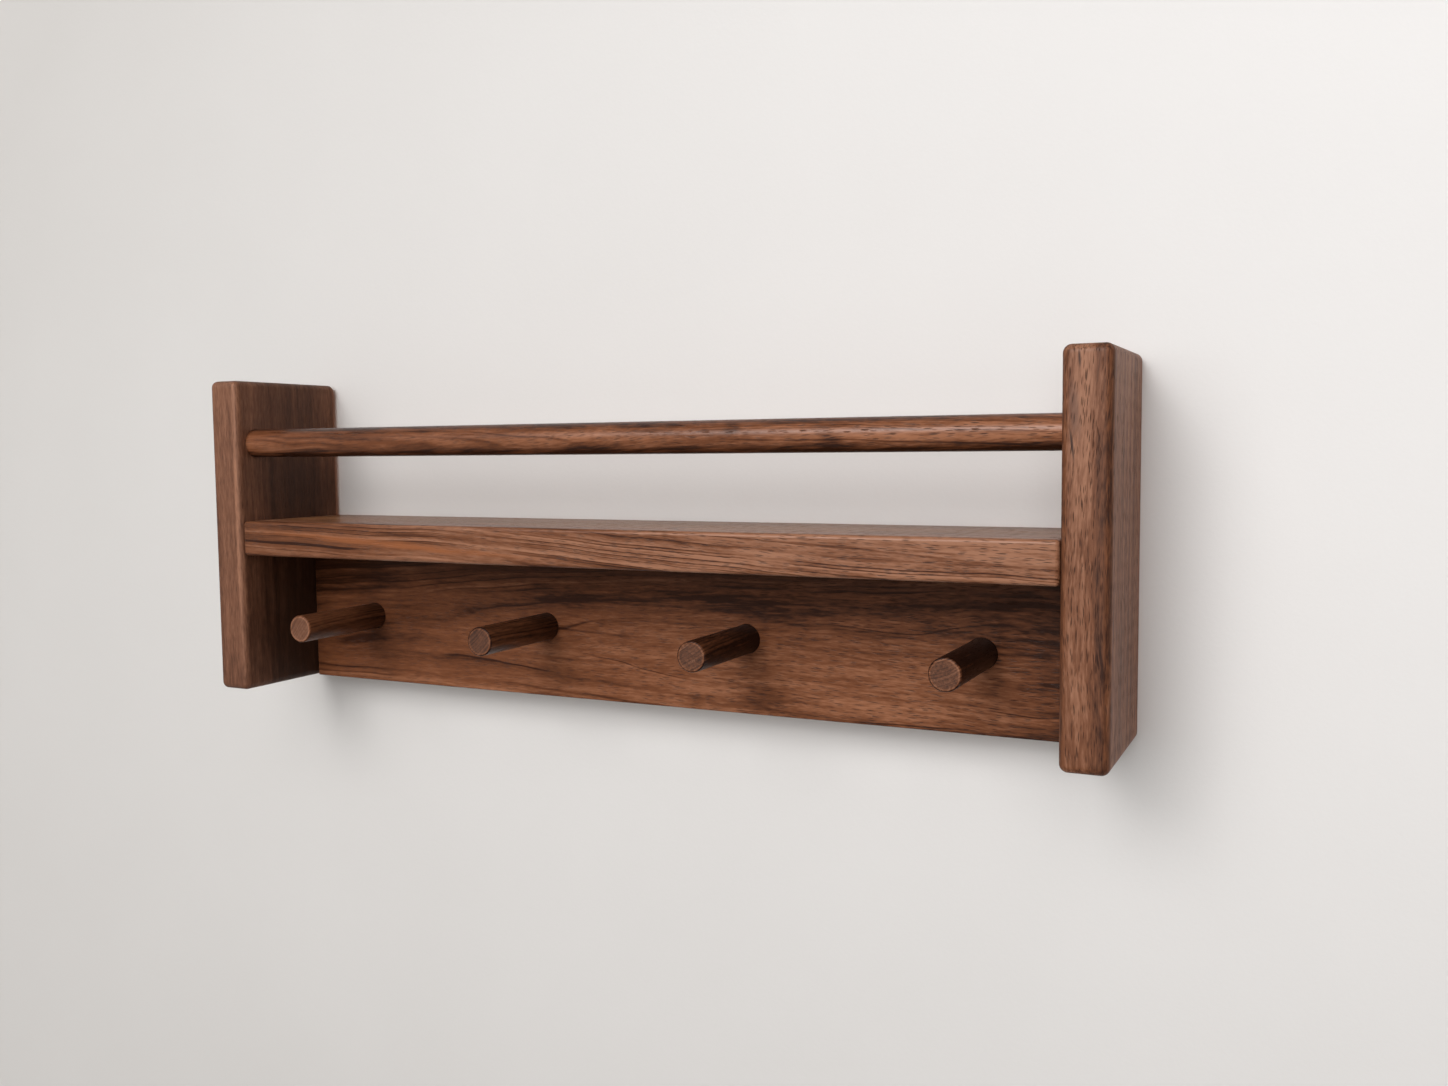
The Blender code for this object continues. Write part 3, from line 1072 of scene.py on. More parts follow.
@dataclass
class EndPanel(Board):
    """An end panel, with the recess and the pocket for its keyhole plate in its rear edge."""

    slot: str = "panel_walnut"
    edge_radius: float = 0.0045
    side: Side = Side.LEFT
    plate_gap: float = 0.0003
    pocket_width: float = 0.012
    pocket_depth: float = 0.0113
    slot_sides: int = 32

    def cutters(self) -> list[Mesh]:
        """Cutters for the dowels, for the rail's end and for the keyhole plate.

        Returns:
            The cutters.
        """
        dowels = end_dowels("shelf", self.side) + end_dowels("back", self.side)
        sockets = self.dowel_sockets(dowels, Axis.X) + self.rod_sockets(["guard_rail"], Axis.X)
        return sockets + self.recesses()

    def recesses(self) -> list[Mesh]:
        """Cutters for the keyhole plate, for a screw head behind it and for the plate's screws.

        Returns:
            The cutters.
        """
        hanger = KeyholeHanger(self.side)
        plate = Box.of(hanger.plate_node)
        width, thick, tall = plate.size
        recess = plain_profile(-thick - self.plate_gap, CUTTER_OVERRUN, width / 2 + self.plate_gap)
        recess = carried_round(recess, plate.rear, Axis.Y, self.slot_sides, tall - width)
        pocket = plain_profile(-self.pocket_depth, CUTTER_OVERRUN, self.pocket_width / 2)
        pocket = carried_round(pocket, hanger.slot_centre(), Axis.Y, self.slot_sides, hanger.slot_travel)
        cutters = [mesh_of("plate_recess", recess), mesh_of("head_pocket", pocket)]
        for node in hanger.screw_nodes():
            screw = Box.of(node)
            depth = screw.size[Axis.Y.value] + self.plate_gap
            pilot = plain_profile(-depth, CUTTER_OVERRUN, hanger.pilot_diameter / 2)
            pilot = carried_round(pilot, screw.rear, Axis.Y, self.dowel_sides)
            cutters.append(mesh_of("pilot_hole", pilot))
        return cutters


@dataclass
class ShelfBoard(Board):
    """The shelf board, with the sockets of its dowels."""

    node: str = "shelf_board"
    slot: str = "shelf_walnut"
    edge_radius: float = 0.0025

    def cutters(self) -> list[Mesh]:
        """Cutters for the dowels in its ends and for those up from the back board."""
        upright = numbered("shelf_to_back_dowel", UPRIGHT_DOWELS)
        return self.dowel_sockets(end_dowels("shelf", *Side), Axis.X) + self.dowel_sockets(upright, Axis.Z)


@dataclass
class BackBoard(Board):
    """The back board, with the sockets of its dowels and of the pegs."""

    node: str = "back_board"
    slot: str = "back_walnut"
    edge_radius: float = 0.001
    pegs: Sequence[str] = ()

    def cutters(self) -> list[Mesh]:
        """Cutters for the dowels in its ends and its top edge and for the pegs.

        Returns:
            The cutters.
        """
        upright = numbered("shelf_to_back_dowel", UPRIGHT_DOWELS)
        dowels = self.dowel_sockets(end_dowels("back", *Side), Axis.X) + self.dowel_sockets(upright, Axis.Z)
        return dowels + self.rod_sockets(self.pegs, Axis.Y)


@dataclass
class Rod(WalnutPiece):
    """A straight round bar with eased ends, such as the guard rail."""

    axis: Axis
    ease: float = 0.001
    ease_steps: int = 6
    sides: int = 96

    def mesh(self) -> Mesh:
        """The bar, shaded smooth.

        Returns:
            The mesh.
        """
        profile = rod_profile(*self.box.rod(self.axis), self.ease, self.ease_steps)
        mesh = mesh_of(self.name, carried_round(profile, self.box.centre, self.axis, self.sides))
        mesh.shade_smooth()
        return mesh


@dataclass
class Peg(Rod):
    """A peg: a bar with end grain on its tip and painted shade at its root.

    Its tip has a dark eased edge, a painted highlight round the rim inside that and a heart in between, each
    by a step of tone.
    """

    slot: str = "peg_walnut"
    axis: Axis = Axis.Y
    tone: float = 0.0
    tip_tone: float = 0.4
    dark: Colour = (0.020, 0.0062, 0.0033)
    tip_skin: float = 0.0012
    tip_reach: float = 0.02
    edge_step: float = -0.30
    rim_radius: float = 0.0084
    rim_deep: float = 0.01
    rim_highlight_step: float = 0.52
    heart_radius: float = 0.0076
    heart_step: float = -0.24
    end_grain: Colour = (0.110, 0.062, 0.047)
    end_grain_depth: float = 0.42
    root: float = 0.074
    root_reach: float = 0.046
    root_shade_step: float = -0.26
    pith: Pair = (0.034, -0.040)
    pith_step: float = 0.006
    along: float = 9.0
    along_step: float = 0.9

    def wood(self, finish: Walnut) -> Walnut:
        """The walnut of the peg, which is finer and darker than that of a board."""
        fine = replace(finish, band_depth=0.6, line_width=0.0014, line_depth=0.9, vein_depth=0.2)
        return replace(fine, dark=self.dark, tone=self.tone, specular=0.10)

    def cut(self, index: int) -> Cut:
        """How the peg with that index was sawn: each from another place in the log."""
        across, up = (start + self.pith_step * index for start in self.pith)
        return Cut(Grain.OUTWARDS, pith=(across, up), along=self.along + self.along_step * index)

    def spots(self) -> tuple[Spot, ...]:
        """The end grain of the tip, with a painted highlight round its rim, and the painted shade at the
        root.

        Returns:
            The spots.
        """
        tip = tuple(self.box.front)
        root = (tip[0], tip[1] + self.root, tip[2])
        skin = (self.tip_reach, self.tip_skin, self.tip_reach)
        rim = (self.rim_radius, self.rim_deep, self.rim_radius)
        heart = (self.heart_radius, self.rim_deep, self.heart_radius)
        face = (self.rim_radius, self.tip_skin, self.rim_radius)
        shade = (self.tip_reach, self.root_reach, self.tip_reach)
        return (
            Streak(tip, skin, tone=self.tip_tone + self.edge_step - self.tone, wander=0.0, core=0.8),
            # Painted highlight: a pale ring round the tip, where the eased rim catches the light.
            Streak(tip, rim, tone=self.rim_highlight_step, wander=0.0, core=0.95),
            Streak(tip, heart, tone=self.heart_step, wander=0.0, core=0.90),
            # Painted shade at the root, where the peg meets the back board.
            Streak(root, shade, tone=self.root_shade_step, wander=0.0),
            StainAndPaintedLight(tip, face, depth=self.end_grain_depth, colour=self.end_grain, wander=0.0, core=0.8),
        )


@dataclass
class KeyholeHanger:
    """A zinc-plated keyhole plate and its two countersunk screws."""

    side: Side
    entry_diameter: float = 0.0095
    entry_rise: float = 0.017
    slot_width: float = 0.005
    slot_travel: float = 0.011
    plate_ease: float = 0.0004
    plate_ease_steps: int = 3
    pilot_diameter: float = 0.0039
    head_diameter: float = 0.007
    head_gap: float = 0.0002
    head_ease: float = 0.0002
    shank_diameter: float = 0.0035
    point_length: float = 0.004
    point_share: float = 1 / 3
    drive_span: float = 0.004
    drive_width: float = 0.0009
    drive_depth: float = 0.001
    drive_ease: float = 0.0001
    sides: int = 64

    @property
    def plate_node(self) -> str:
        """The plate's node."""
        return f"{self.side.value}_keyhole_plate"

    def screw_nodes(self) -> list[str]:
        """The screws' nodes."""
        return numbered(f"{self.side.value}_plate_screw", PLATE_SCREWS)

    def slot_centre(self) -> np.ndarray:
        """The middle of the keyhole's slot, on the rear face.

        Returns:
            The place.
        """
        plate = Box.of(self.plate_node)
        height = plate.low[2] + self.entry_rise + self.slot_travel / 2
        return np.array([plate.centre[0], plate.high[1], height])

    def turned(self, name: str, profile: np.ndarray, centre: np.ndarray, travel: float = 0.0) -> Mesh:
        """Mesh of a profile carried round an axis out of the wall, or round a slot with travel."""
        return mesh_of(name, carried_round(profile, centre, Axis.Y, self.sides, travel))

    def plate_mesh(self) -> Mesh:
        """The plate: a round-ended slab with eased rims, a keyhole and two countersunk holes.

        Returns:
            The mesh.
        """
        plate = Box.of(self.plate_node)
        width, thick, tall = plate.size
        profile = rod_profile(thick, width / 2, self.plate_ease, self.plate_ease_steps)
        slab = self.turned("plate", profile, plate.centre, tall - width)
        middle = self.slot_centre()
        narrow = plain_profile(-thick - CUTTER_OVERRUN, CUTTER_OVERRUN, self.slot_width / 2)
        wide = narrow * (1.0, self.entry_diameter / self.slot_width)
        cutters = [
            self.turned("keyhole_slot", narrow, middle, self.slot_travel),
            self.turned("keyhole_entry", wide, middle - (0.0, 0.0, self.slot_travel / 2)),
        ]
        for node in self.screw_nodes():
            cutters.append(self.turned("countersink", self.countersink(), Box.of(node).rear))
        return carve(f"zinc_{self.plate_node}", slab, cutters)

    def countersink(self) -> np.ndarray:
        """Profile of the hole round a screw's head and shank, from the depth of the plate outwards.

        Returns:
            Rows of (along, radius).
        """
        head = self.head_diameter / 2 + self.head_gap
        shank = self.shank_diameter / 2 + self.head_gap
        deep = shank - head
        return np.array([
            [deep - CUTTER_OVERRUN, 0.0], [deep - CUTTER_OVERRUN, shank], [deep, shank],
            [0.0, head], [CUTTER_OVERRUN, head], [CUTTER_OVERRUN, 0.0],
        ])

    def screw_mesh(self, node: str) -> Mesh:
        """A countersunk screw: flat head, cone, shank and point, with a cross recess.

        Args:
            node: the screw's node.

        Returns:
            The mesh.
        """
        box = Box.of(node)
        head, shank, length = self.head_diameter / 2, self.shank_diameter / 2, box.size[Axis.Y.value]
        profile = np.array([
            [-length, 0.0], [shank - length, shank * self.point_share], [self.point_length - length, shank],
            [shank - head, shank], [-self.head_ease, head], [0.0, head - self.head_ease], [0.0, 0.0],
        ])
        cutters = []
        for span, width in ((self.drive_span, self.drive_width), (self.drive_width, self.drive_span)):
            half = np.array([span, 2 * self.drive_depth, width]) / 2
            bar = Box(box.rear - half, box.rear + half)
            drive = rounded_block(bar, self.drive_ease, round_steps=1, cell=self.head_diameter)
            cutters.append(mesh_of("drive", drive))
        return carve(f"zinc_{node}", self.turned("screw", profile, box.rear), cutters)

    def build(self, plating: Material) -> None:
        """Builds and dresses the plate and its screws.

        Args:
            plating: the finish.
        """
        add_piece(f"zinc_{self.plate_node}", self.plate_mesh(), [self.plate_node], plating)
        for node in self.screw_nodes():
            add_piece(f"zinc_{node}", self.screw_mesh(node), [node], plating)


@dataclass
class Dowels:
    """The dowels inside the joints, which stay as the frame has them."""

    finish: Beech

    def dress(self, nodes: dict[str, Object]) -> None:
        """Gives each dowel its beech.

        Args:
            nodes: the frame's nodes by name.
        """
        level = self.finish.material("dowel_beech_lengthways", Grain.LENGTHWAYS)
        upright = self.finish.material("dowel_beech_upright", Grain.UPRIGHT)
        for name, node in nodes.items():
            if "dowel" in name:
                node.data.materials.clear()
                node.data.materials.append(upright if name.startswith("shelf_to_back") else level)
                LOG.info("%s: dressed in beech", name)


# Studio


class Rays(Enum):
    """What a lamp lights: the body of a colour or its gloss."""

    BODY = "body"
    GLOSS = "gloss"


@dataclass(frozen=True)
class Lamp:
    """A soft lamp that looks at the shelf's middle from a direction.

    Azimuth is in degrees to the right of straight in front, and elevation in degrees above the horizon. The
    level is the share of plain light that it lays on a surface facing it: at a level of 1 a colour renders as
    it is written.
    """

    name: str
    azimuth: float
    elevation: float
    level: float
    width: float
    height: float
    distance: float = 5.0
    shows: Rays = Rays.BODY

    def build(self) -> Object:
        """Adds the lamp.

        Returns:
            The lamp.
        """
        light = bpy.data.lights.new(self.name, "AREA")
        light.shape = "RECTANGLE"
        light.size = self.width
        light.size_y = self.height
        light.energy = self.level * (math.pi * self.distance) ** 2
        turn, rise = math.radians(self.azimuth), math.radians(self.elevation)
        level = Vector((math.sin(turn), -math.cos(turn), 0.0)) * math.cos(rise)
        toward = level + Vector((0.0, 0.0, math.sin(rise)))
        lamp = new_object(self.name, light)
        lamp.location = toward * self.distance
        lamp.rotation_euler = toward.to_track_quat("Z", "Y").to_euler()
        lamp.visible_camera = False
        lamp.visible_diffuse = self.shows is Rays.BODY
        lamp.visible_glossy = self.shows is Rays.GLOSS
        return lamp


@dataclass(frozen=True)
class PhotoCamera:
    """The camera of the photograph: where it stands, how it looks and its focal length in pixels."""

    place: Place = (0.40229, -0.72563, 0.11627)
    yaw: float = 0.45763
    pitch: float = -0.07409
    roll: float = 0.00984
    focal_px: float = 1271.994
    frame_width_px: float = 1448.0
    sensor_width_mm: float = 36.0
    clip_start: float = 0.01

    def build(self) -> None:
        """Adds the camera and makes it the scene's own."""
        data = bpy.data.cameras.new("photo_camera")
        data.sensor_fit = "HORIZONTAL"
        data.sensor_width = self.sensor_width_mm
        data.lens = self.focal_px / self.frame_width_px * self.sensor_width_mm
        data.clip_start = self.clip_start
        ahead = Vector((-math.sin(self.yaw), math.cos(self.yaw), 0.0)) * math.cos(self.pitch)
        forward = ahead + Vector((0.0, 0.0, math.sin(self.pitch)))
        level = Vector((math.cos(self.yaw), math.sin(self.yaw), 0.0))
        down = forward.cross(level)
        right = math.cos(self.roll) * level + math.sin(self.roll) * down
        lower = math.cos(self.roll) * down - math.sin(self.roll) * level
        axes = Matrix((right, -lower, -forward)).transposed()
        camera = new_object("photo_camera", data)
        camera.matrix_world = Matrix.Translation(self.place) @ axes.to_4x4()
        bpy.context.scene.camera = camera


@dataclass
class Studio:
    """The pale wall and floor, the lamps and the world."""

    wall_gap: float = 0.0008
    wall_width: float = 9.0
    wall_height: float = 6.0
    floor_drop: float = 1.1
    floor_depth: float = 6.0
    wall_paint: Paint = Paint()
    floor_paint: Paint = Paint(low=(0.55, 0.53, 0.51), high=(0.62, 0.60, 0.58))
    lamps: tuple[Lamp, ...] = (
        Lamp("key_softbox", azimuth=-3.0, elevation=24.0, level=0.92, width=5.6, height=5.0),
        Lamp("top_softbox", azimuth=-10.0, elevation=32.0, level=0.25, width=2.0, height=2.0),
        Lamp("side_softbox", azimuth=89.0, elevation=5.0, level=0.26, width=0.8, height=0.8),
        Lamp(
            "gloss_softbox", azimuth=-8.0, elevation=27.0, level=1.1, width=4.0, height=1.6, shows=Rays.GLOSS
        ),
    )
    rear_lamp: Lamp = Lamp(
        "rear_softbox", azimuth=180.0, elevation=0.0, level=0.75, width=0.6, height=0.6, distance=4.0
    )
    ambient: float = 0.130
    daylight: Colour = (1.0, 1.0, 1.0)
    backdrop: Colour = (0.38, 0.37, 0.36)

    def sheet(self, name: str, corner: Place, first: Place, second: Place, finish: Material) -> Object:
        """A flat sheet of the stage: corner + s * first + t * second, for s and t from 0 to 1.

        Args:
            name: name of the sheet.
            corner: one of its corners.
            first: its first side.
            second: its second side; the sheet faces first x second.
            finish: its paint.

        Returns:
            The sheet.
        """
        s, t = np.meshgrid((0.0, 1.0), (0.0, 1.0), indexing="ij")
        points = np.array(corner) + s[..., None] * np.array(first) + t[..., None] * np.array(second)
        mesh = bpy.data.meshes.new(name)
        mesh.from_pydata(points.reshape(-1, 3).tolist(), [], grid_quads(2, 2).tolist())
        mesh.materials.append(finish)
        sheet = new_object(name, mesh)
        return sheet

    def build(self) -> None:
        """Builds the stage and its light."""
        left = -self.wall_width / 2
        across = (self.wall_width, 0.0, 0.0)
        foot = (left, self.wall_gap, -self.floor_drop)
        room = (left, self.wall_gap - self.floor_depth, -self.floor_drop)
        wall_paint = self.wall_paint.material("wall_paint")
        floor_paint = self.floor_paint.material("floor_paint")
        wall = self.sheet("wall", foot, across, (0.0, 0.0, self.wall_height), wall_paint)
        self.sheet("floor", room, across, (0.0, self.floor_depth, 0.0), floor_paint)
        for lamp in self.lamps:
            lamp.build()
        self.light_rear(wall)
        self.build_world()
        bpy.context.scene.view_settings.view_transform = "Standard"

    def light_rear(self, wall: Object) -> None:
        """Lights the rear of the shelf by a lamp that the wall doesn't stop.

        Args:
            wall: the wall.
        """
        lamp = self.rear_lamp.build()
        passed = bpy.data.collections.new("lets_rear_light_pass")
        passed.objects.link(wall)
        lamp.light_linking.blocker_collection = passed
        passed.collection_objects[0].light_linking.link_state = "EXCLUDE"

    def build_world(self) -> None:
        """Even light from all round, and a pale backdrop where a view looks past the wall."""
        world = bpy.data.worlds.new("studio")
        bpy.context.scene.world = world
        bench = NodeBench(world)
        light = bench.tree.nodes["Background"]
        bench.feed(light, {"Color": self.daylight, "Strength": self.ambient})
        seen = bench.add("ShaderNodeBackground", {"Color": self.backdrop})
        rays = bench.add("ShaderNodeLightPath", {})
        shown = rays.outputs["Is Camera Ray"]
        for ray in ("Is Glossy Ray", "Is Transmission Ray"):
            shown = bench.maths("ADD", shown, rays.outputs[ray], clamp=True)
        choice = bench.add("ShaderNodeMixShader", {0: shown, 1: light.outputs[0], 2: seen.outputs[0]})
        bench.feed(bench.tree.nodes["World Output"], {"Surface": choice.outputs[0]})


# The shelf's pieces in their own wood, with the streaks that the photograph shows: figure, painted shade and
# painted highlights


def build_panels(finish: Walnut) -> None:
    """Builds and dresses the two end panels.

    Args:
        finish: the walnut that they are made of.
    """
    matt = replace(finish, band_depth=0.6, gloss_roughness=0.50)
    # Colour of the painted shade on the left panel's inner face.
    painted_shade_brown = (0.029, 0.0122, 0.0062)
    EndPanel("left_end_panel", side=Side.LEFT).build(
        replace(
            matt, brown=(0.165, 0.068, 0.037), tone=0.52, line_depth=0.35, vein_depth=0.15, fleck_depth=0.45,
            fibre_depth=0.70, grain_depth=1.1,
        ),
        Cut(Grain.UPRIGHT, pith=(0.030, 0.090), lean=(0.02, 0.03), along=0.7),
        (
            # Painted shade: the inner face is darkened all over, most low down towards the back board and
            # again between the shelf and the rail.
            Streak((-0.275, -0.044, 0.060), (0.005, 0.052, 0.250), tone=-0.15, wander=0.6),
            Streak((-0.275, -0.044, -0.020), (0.005, 0.046, 0.070), tone=-0.16, wander=0.6),
            StainAndPaintedLight(
                (-0.275, -0.044, 0.060), (0.005, 0.052, 0.250), wander=0.6,
                colour=(0.034, 0.0145, 0.0078), depth=0.52,
            ),
            StainAndPaintedLight((-0.275, -0.040, -0.016), (0.005, 0.058, 0.086), wander=0.6, colour=painted_shade_brown, depth=0.74),
            StainAndPaintedLight((-0.275, -0.040, 0.090), (0.005, 0.070, 0.034), wander=0.6, colour=painted_shade_brown, depth=0.42),
            # Painted shade on the rounding of the outer front edge.
            Streak((-0.3000, -0.092, 0.060), (0.0040, 0.012, 0.300), tone=-0.38, wander=0.3),
            # Painted highlight on the rounding between the front and the inner face.
            Streak((-0.2782, -0.095, 0.080), (0.0022, 0.004, 0.140), tone=0.34, wander=0.3),
            # Painted shade along the top edge.
            Streak((-0.2875, -0.050, 0.1655), (0.050, 0.100, 0.0022), tone=-0.25, wander=0.3),
            # Painted shade towards the bottom of the front, and a painted sheen towards its top.
            Streak((-0.288, -0.095, -0.046), (0.020, 0.012, 0.040), tone=-0.14),
            Streak((-0.288, -0.095, 0.165), (0.020, 0.012, 0.040), tone=0.12),
        ),
    )
    EndPanel("right_end_panel", side=Side.RIGHT).build(
        replace(matt, tone=0.62, line_width=0.006, line_depth=0.7, vein_depth=0.2),
        Cut(Grain.UPRIGHT, pith=(-0.020, 0.085), lean=(0.03, -0.02), along=2.3),
        (
            # Painted shade on the rounded outer front edge and along the front's inner edge.
            Streak((0.2970, -0.0950, 0.040), (0.0090, 0.0060, 0.40), tone=-0.24, wander=0.4),
            Streak((0.2755, -0.0950, 0.000), (0.0026, 0.0060, 0.30), tone=-0.34, wander=0.6),
            # Painted shade along the top edge.
            Streak((0.2875, -0.0500, 0.1655), (0.050, 0.100, 0.0020), tone=-0.20, wander=0.3),
            # Painted shade towards the bottom of the front and painted light down its middle, strongest
            # towards the top.
            Streak((0.2860, -0.0950, -0.046), (0.020, 0.010, 0.050), tone=-0.12),
            Streak((0.2855, -0.0950, 0.130), (0.0110, 0.0100, 0.110), tone=0.44, wander=0.6),
            Streak((0.2825, -0.0950, 0.010), (0.0065, 0.0100, 0.080), tone=0.15, wander=0.6),
            Streak((0.3000, -0.0500, 0.150), (0.0060, 0.0600, 0.060), tone=0.12),
            Streak((0.3000, -0.0500, 0.000), (0.0060, 0.0600, 0.070), tone=-0.12),
            StainAndPaintedLight((0.2806, -0.0950, 0.1165), (0.0010, 0.004, 0.0125), turn=-0.13, wander=0.6, depth=0.9),
            StainAndPaintedLight((0.2838, -0.0950, 0.1580), (0.0009, 0.004, 0.0060), turn=-0.06, wander=0.6, depth=0.8),
            StainAndPaintedLight(
                (0.2822, -0.0950, 0.1300), (0.0035, 0.004, 0.0200), turn=-0.10,
                colour=(0.11, 0.062, 0.048), depth=0.45,
            ),
        ),
    )


def build_shelf(finish: Walnut) -> None:
    """Builds and dresses the shelf board.

    Args:
        finish: the walnut that it is made of.
    """
    board = ShelfBoard()
    broad = Face.of(board.node, deep=0.020)
    front = Face.of(board.node, deep=0.004)
    board.build(
        replace(finish, tone=0.69, band_depth=1.0, line_depth=1.0, vein_depth=0.85, specular=0.18),
        Cut(Grain.LENGTHWAYS, pith=(-0.02, 0.075), lean=(-0.045, 0.0), along=3.1),
        (
            broad.streak((-0.300, 0.0580), (0.230, 0.0600), tone=-0.29, wander=0.6),
            broad.streak((0.085, 0.0580), (0.085, 0.0400), tone=0.14, wander=0.6),
            # Painted light: the top face is made lighter and yellower, for the light and sheen on it.
            Streak((0.000, -0.0400, 0.0700), (0.900, 0.0500, 0.0010), tone=0.06, wander=0.3),
            StainAndPaintedLight(
                (0.000, -0.0400, 0.0700), (0.900, 0.0500, 0.0010), wander=0.3,
                colour=(0.250, 0.108, 0.028), depth=0.45,
            ),
            # Painted highlight along the rounded top front edge.
            Streak((0.130, -0.0930, 0.0684), (0.200, 0.003, 0.0013), tone=0.40, wander=0.6),
            broad.streak((0.260, 0.0580), (0.180, 0.0600), tone=0.18, wander=0.6),
            front.streak((-0.185, 0.0500), (0.090, 0.0028), turn=0.02, tone=-0.16),
            front.streak((-0.215, 0.0550), (0.055, 0.0024), turn=0.05, tone=-0.12),
            front.streak((-0.095, 0.0614), (0.085, 0.0026), turn=0.066, tone=-0.24),
            front.streak((0.010, 0.0622), (0.050, 0.0034), turn=0.05, tone=0.16),
            front.streak((0.074, 0.0502), (0.030, 0.0026), turn=0.03, tone=0.16),
            front.streak((0.122, 0.0592), (0.034, 0.0034), turn=0.04, tone=0.20),
            front.streak((0.150, 0.0500), (0.055, 0.0028), turn=0.02, tone=-0.20),
            front.streak((0.164, 0.0630), (0.035, 0.0028), turn=0.06, tone=-0.18),
            front.streak((0.236, 0.0618), (0.040, 0.0032), turn=0.05, tone=0.20),
            front.streak((0.234, 0.0528), (0.045, 0.0030), turn=0.03, tone=-0.24),
            front.streak((-0.215, 0.0662), (0.060, 0.0022), turn=0.03, tone=-0.15),
            front.streak((-0.055, 0.0535), (0.040, 0.0022), turn=0.064, tone=0.20),
            front.streak((0.165, 0.0572), (0.110, 0.0042), turn=0.03, tone=0.10),
            front.streak((0.195, 0.0606), (0.075, 0.0009), turn=0.081, tone=-0.32),
            front.streak((0.120, 0.0655), (0.080, 0.0009), turn=0.060, tone=-0.26),
            front.stain_and_shade(
                (-0.150, 0.0574), (0.145, 0.0030), turn=0.050, colour=(0.320, 0.108, 0.040), depth=0.80
            ),
        ),
    )


def build_back(finish: Walnut, pegs: Sequence[str]) -> None:
    """Builds and dresses the back board.

    Args:
        finish: the walnut that it is made of.
        pegs: nodes of the pegs that it carries.
    """
    board = BackBoard(pegs=pegs)
    front = Face.of(board.node, deep=0.05)
    board.build(
        replace(
            finish, brown=(0.172, 0.059, 0.0245), pale=(0.345, 0.145, 0.074), tone=0.57, band_depth=0.8,
            line_depth=0.9, vein_depth=0.55, specular=0.12,
        ),
        Cut(Grain.LENGTHWAYS, pith=(0.055, -0.010), lean=(0.01, 0.02), along=5.2),
        (
            # Painted shade under the shelf: darkest at the top edge, fading downwards, with painted light
            # along the bottom.
            front.streak((0.0, 0.050), (1.2, 0.034), tone=-0.20, wander=0.6),
            front.stain_and_shade((0.0, 0.050), (1.2, 0.038), wander=0.6, colour=(0.035, 0.0122, 0.0056), depth=0.68),
            front.streak((0.0, 0.014), (1.2, 0.022), tone=-0.13, wander=0.8),
            front.streak((0.090, -0.042), (0.260, 0.024), tone=0.20, wander=0.8),
            # Painted shade at the right end, next to the right panel.
            front.streak((0.280, -0.005), (0.075, 0.080), tone=-0.36),
            # Painted shade in the left corner by the left panel, deepest at the top.
            front.streak((-0.265, 0.030), (0.115, 0.040), tone=-0.28),
            front.streak((-0.245, -0.040), (0.090, 0.040), tone=-0.08),
            front.streak((-0.060, 0.0200), (0.040, 0.0070), turn=0.05, tone=-0.24, wander=2.5),
            front.streak((0.075, 0.0200), (0.065, 0.0080), turn=0.10, tone=-0.30, wander=2.5),
            front.streak((0.215, 0.0110), (0.055, 0.0100), tone=-0.20, wander=2.5),
            front.streak((0.160, -0.0180), (0.060, 0.0060), turn=0.10, tone=0.16, wander=2.5),
            front.streak((-0.020, -0.0150), (0.060, 0.0060), turn=0.04, tone=0.14, wander=2.5),
            front.streak((0.010, 0.0260), (0.075, 0.0030), tone=-0.12),
            front.streak((0.000, 0.0175), (0.052, 0.0014), tone=-0.22),
            front.streak((-0.028, -0.0025), (0.052, 0.0014), turn=0.040, tone=-0.30),
            front.streak((-0.047, -0.0208), (0.033, 0.0013), turn=0.019, tone=-0.26),
            front.streak((0.135, -0.0060), (0.055, 0.0018), turn=0.15, tone=-0.25),
            front.streak((0.088, -0.0330), (0.030, 0.0085), turn=0.05, tone=-0.34, wander=3.0),
            front.streak((0.268, -0.0350), (0.012, 0.0120), turn=-0.6, tone=-0.20, wander=3.0),
        ),
    )


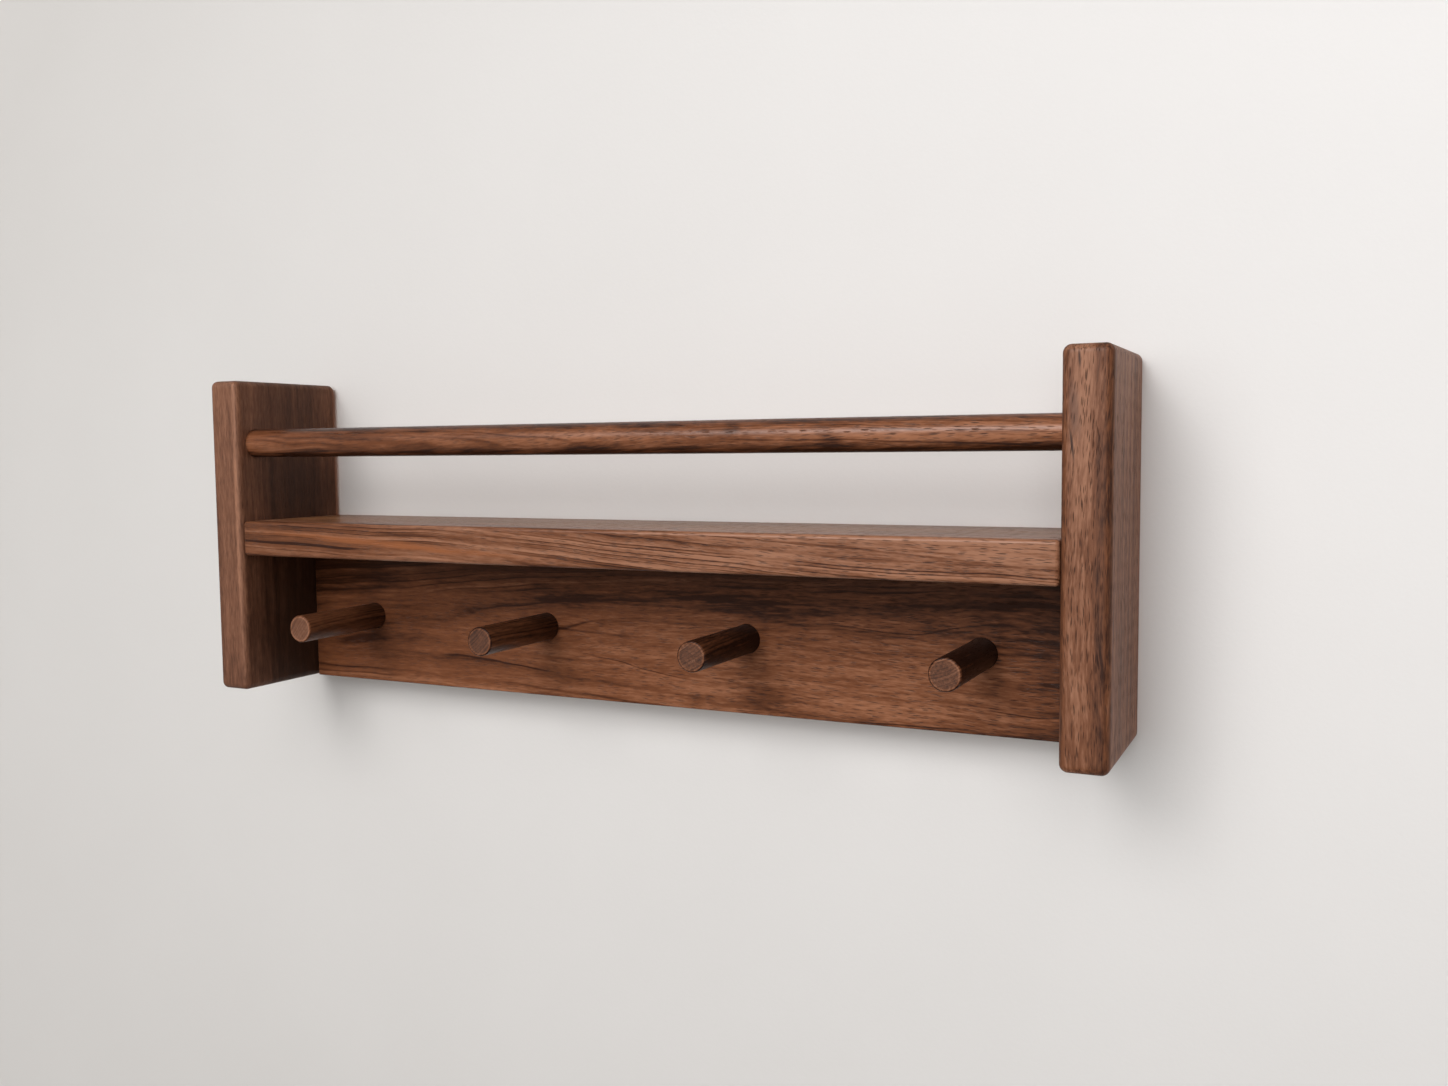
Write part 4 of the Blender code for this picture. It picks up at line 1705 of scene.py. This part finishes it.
def build_rail(finish: Walnut) -> None:
    """Builds and dresses the guard rail.

    Args:
        finish: the walnut that it is made of.
    """
    rail = Rod("guard_rail", "rail_walnut", Axis.X)
    front = Face.of(rail.node, deep=0.020)
    rail.build(
        replace(
            finish, brown=(0.172, 0.059, 0.0245), pale=(0.360, 0.148, 0.074), tone=0.59, band_depth=0.9,
            line_depth=0.6, vein_depth=0.35, specular=0.19, gloss_roughness=0.30,
        ),
        Cut(Grain.LENGTHWAYS, pith=(0.020, 0.018), lean=(0.03, 0.04), along=7.9),
        (
            # Painted shade on the underside and the top of the rail, leaving its front lit.
            Streak((0.0, -0.0785, 0.1125), (1.2, 0.020, 0.0080), tone=-0.74),
            Streak((0.0, -0.0785, 0.1330), (1.2, 0.020, 0.0060), tone=-0.46),
            # Lighter wood and painted sheen along the front at mid-height, strongest towards the right end.
            front.streak((0.000, 0.1235), (0.090, 0.0060), tone=0.24, wander=0.8),
            front.streak((0.215, 0.1235), (0.130, 0.0090), tone=0.30, wander=0.8),
            front.streak((-0.175, 0.1290), (0.050, 0.0070), tone=-0.16),
            front.streak((-0.105, 0.1220), (0.020, 0.0050), tone=0.16),
            front.streak((0.050, 0.1280), (0.040, 0.0060), tone=-0.16),
            front.streak((0.093, 0.1260), (0.008, 0.0070), tone=-0.34),
            front.streak((0.152, 0.1210), (0.010, 0.0060), tone=-0.34),
        ),
    )


def build_pegs(finish: Walnut, nodes: Sequence[str]) -> None:
    """Builds and dresses the pegs.

    Args:
        finish: the walnut that they are made of.
        nodes: nodes of the pegs, from the left.
    """
    for index, (node, tone, tip_tone) in enumerate(zip(nodes, PEG_TONES, PEG_TIP_TONES)):
        peg = Peg(node, tone=tone, tip_tone=tip_tone)
        peg.build(peg.wood(finish), peg.cut(index), peg.spots())


def build_fittings(nodes: dict[str, Object]) -> None:
    """Builds the hangers and dresses the dowels.

    Args:
        nodes: the frame's nodes by name.
    """
    plating = ZincSteel().material("zinc_plating")
    for side in Side:
        KeyholeHanger(side).build(plating)
    Dowels(Beech()).dress(nodes)


def main() -> None:
    """Loads the frame, dresses every piece and sets the stage."""
    logging.basicConfig(level=logging.INFO, format="%(name)s: %(message)s")
    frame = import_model()
    finish = Walnut()
    pegs = numbered("peg", PEGS)
    build_panels(finish)
    build_shelf(finish)
    build_back(finish, pegs)
    build_rail(finish)
    build_pegs(finish, pegs)
    build_fittings(frame["nodes"])
    Studio().build()
    PhotoCamera().build()


if __name__ == "__main__":
    main()
